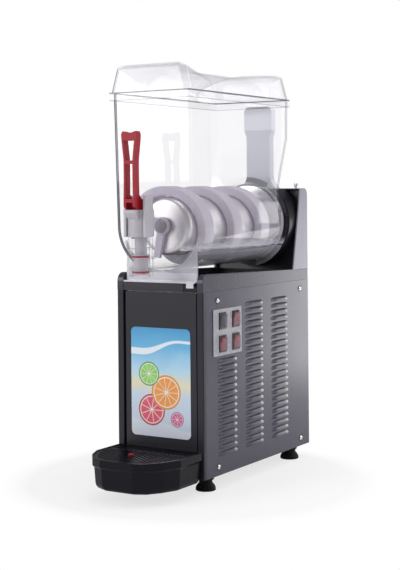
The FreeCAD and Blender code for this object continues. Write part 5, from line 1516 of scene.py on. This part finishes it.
# Each soft box's name, place, target, size in metres and power in watts.
SOFT_BOXES = (
    ("key_light", (-1.5, -2.3, 1.35), (0.0, 0.0, 0.55), (1.3, 1.7), 28.0),
    ("side_light", (1.15, 0.68, 0.95), (0.05, 0.2, 0.35), (0.7, 1.1), 6.5),
    ("rear_light", (0.44, 1.36, 0.27), (0.1, 0.20, 0.27), (0.62, 0.52), 3.6),
    ("top_light", (0.1, 0.0, 2.2), (0.0, 0.0, 0.4), (1.2, 1.2), 14.0),
)


@dataclass
class Studio:
    """The plain floor, the soft light and the camera."""

    camera_place: Point = (1.4079, -2.2689, 0.5824)
    heading: float = 31.7
    roll: float = -0.5
    lens: float = 82.48
    shift: float = -0.1646
    floor_half: float = 6.0
    fade_start: float = 0.20
    fade_end: float = 0.40
    floor_lift: float = 0.70
    ambient: float = 0.44
    sheen: float = 0.24

    def floor(self) -> None:
        """A pale floor that goes over into the white background."""
        half = self.floor_half
        corners = [(-half, -half, 0.0), (half, -half, 0.0), (half, half, 0.0), (-half, half, 0.0)]
        mesh = bpy.data.meshes.new("studio_floor")
        mesh.from_pydata(corners, [], [(0, 1, 2, 3)])
        floor = bpy.data.objects.new("studio_floor", mesh)
        bpy.context.scene.collection.objects.link(floor)
        made = bpy.data.materials.new("studio_floor")
        made.use_nodes = True
        made.node_tree.nodes.clear()
        bench = Bench(made.node_tree)
        x, y, _ = bench.split(bench.place())
        distance = bench.maths("SQRT", x * x + (y + 0.03) * (y + 0.03))
        seen = bench.node("ShaderNodeLightPath")
        direct = seen.out("Is Camera Ray").at_least(seen.out("Is Transmission Ray"))
        paper = bench.principled({
            "Base Color": (0.93, 0.93, 0.935), "Roughness": 0.7, "Specular IOR Level": 0.2})
        white = bench.node("ShaderNodeEmission", None, {"Color": WHITE, "Strength": 1.0}).out()
        share = distance.eased(self.fade_start, self.fade_end).at_least(self.floor_lift) * direct
        surface = bench.mix(share, paper, white)
        bench.node("ShaderNodeOutputMaterial", None, {"Surface": surface})
        mesh.materials.append(made)

    def sky(self) -> None:
        """White for the camera and for rays through clear parts, dim grey for reflections, soft light for
        the rest.
        """
        world = bpy.data.worlds.new("studio_sky")
        world.use_nodes = True
        world.node_tree.nodes.clear()
        bench = Bench(world.node_tree)
        seen = bench.node("ShaderNodeLightPath")
        direct = seen.out("Is Camera Ray").at_least(seen.out("Is Transmission Ray"))
        shine = seen.out("Is Glossy Ray")
        strength = direct + (1.0 - direct) * (shine * self.sheen + (1.0 - shine) * self.ambient)
        light = bench.node("ShaderNodeBackground", None, {"Color": WHITE, "Strength": strength})
        bench.node("ShaderNodeOutputWorld", None, {"Surface": light})
        bpy.context.scene.world = world

    def lamp(self, name: str, place: Point, target: Point, size: tuple[float, float], power: float) -> None:
        """One soft box aimed at a point."""
        light = bpy.data.lights.new(name, "AREA")
        light.shape = "RECTANGLE"
        light.size, light.size_y = size
        light.energy = power
        holder = bpy.data.objects.new(name, light)
        holder.location = place
        aim = Vector(target) - Vector(place)
        holder.rotation_euler = aim.to_track_quat("-Z", "Y").to_euler()
        bpy.context.scene.collection.objects.link(holder)

    def camera(self) -> None:
        """The camera at the picture's viewing angle."""
        data = bpy.data.cameras.new("studio_camera")
        data.sensor_width = 36.0
        data.lens = self.lens
        data.shift_y = self.shift
        data.clip_end = 50.0
        camera = bpy.data.objects.new("studio_camera", data)
        turn = (Matrix.Rotation(math.radians(self.heading), 4, "Z") @ Matrix.Rotation(math.pi / 2, 4, "X")
                @ Matrix.Rotation(math.radians(self.roll), 4, "Z"))
        camera.matrix_world = Matrix.Translation(self.camera_place) @ turn
        bpy.context.scene.collection.objects.link(camera)
        bpy.context.scene.camera = camera

    def set_up(self) -> None:
        """Build the studio."""
        self.floor()
        self.sky()
        for box in SOFT_BOXES:
            self.lamp(*box)
        self.camera()
        bpy.context.scene.view_settings.view_transform = "Standard"


def main() -> None:
    """Dress the machine and set up its picture."""
    logging.basicConfig(level=logging.INFO, format="%(message)s")
    assemblies: list[Assembly] = [
        Cabinet(), Switches(), TopWorks(), ChillAndStir(), BowlAndLid(), Tap(), DripTray(), Refrigeration(),
    ]
    for assembly in assemblies:
        log.info("dressing %s", type(assembly).__name__)
        assembly.dress()
    Studio().set_up()


if __name__ == "__main__":
    main()
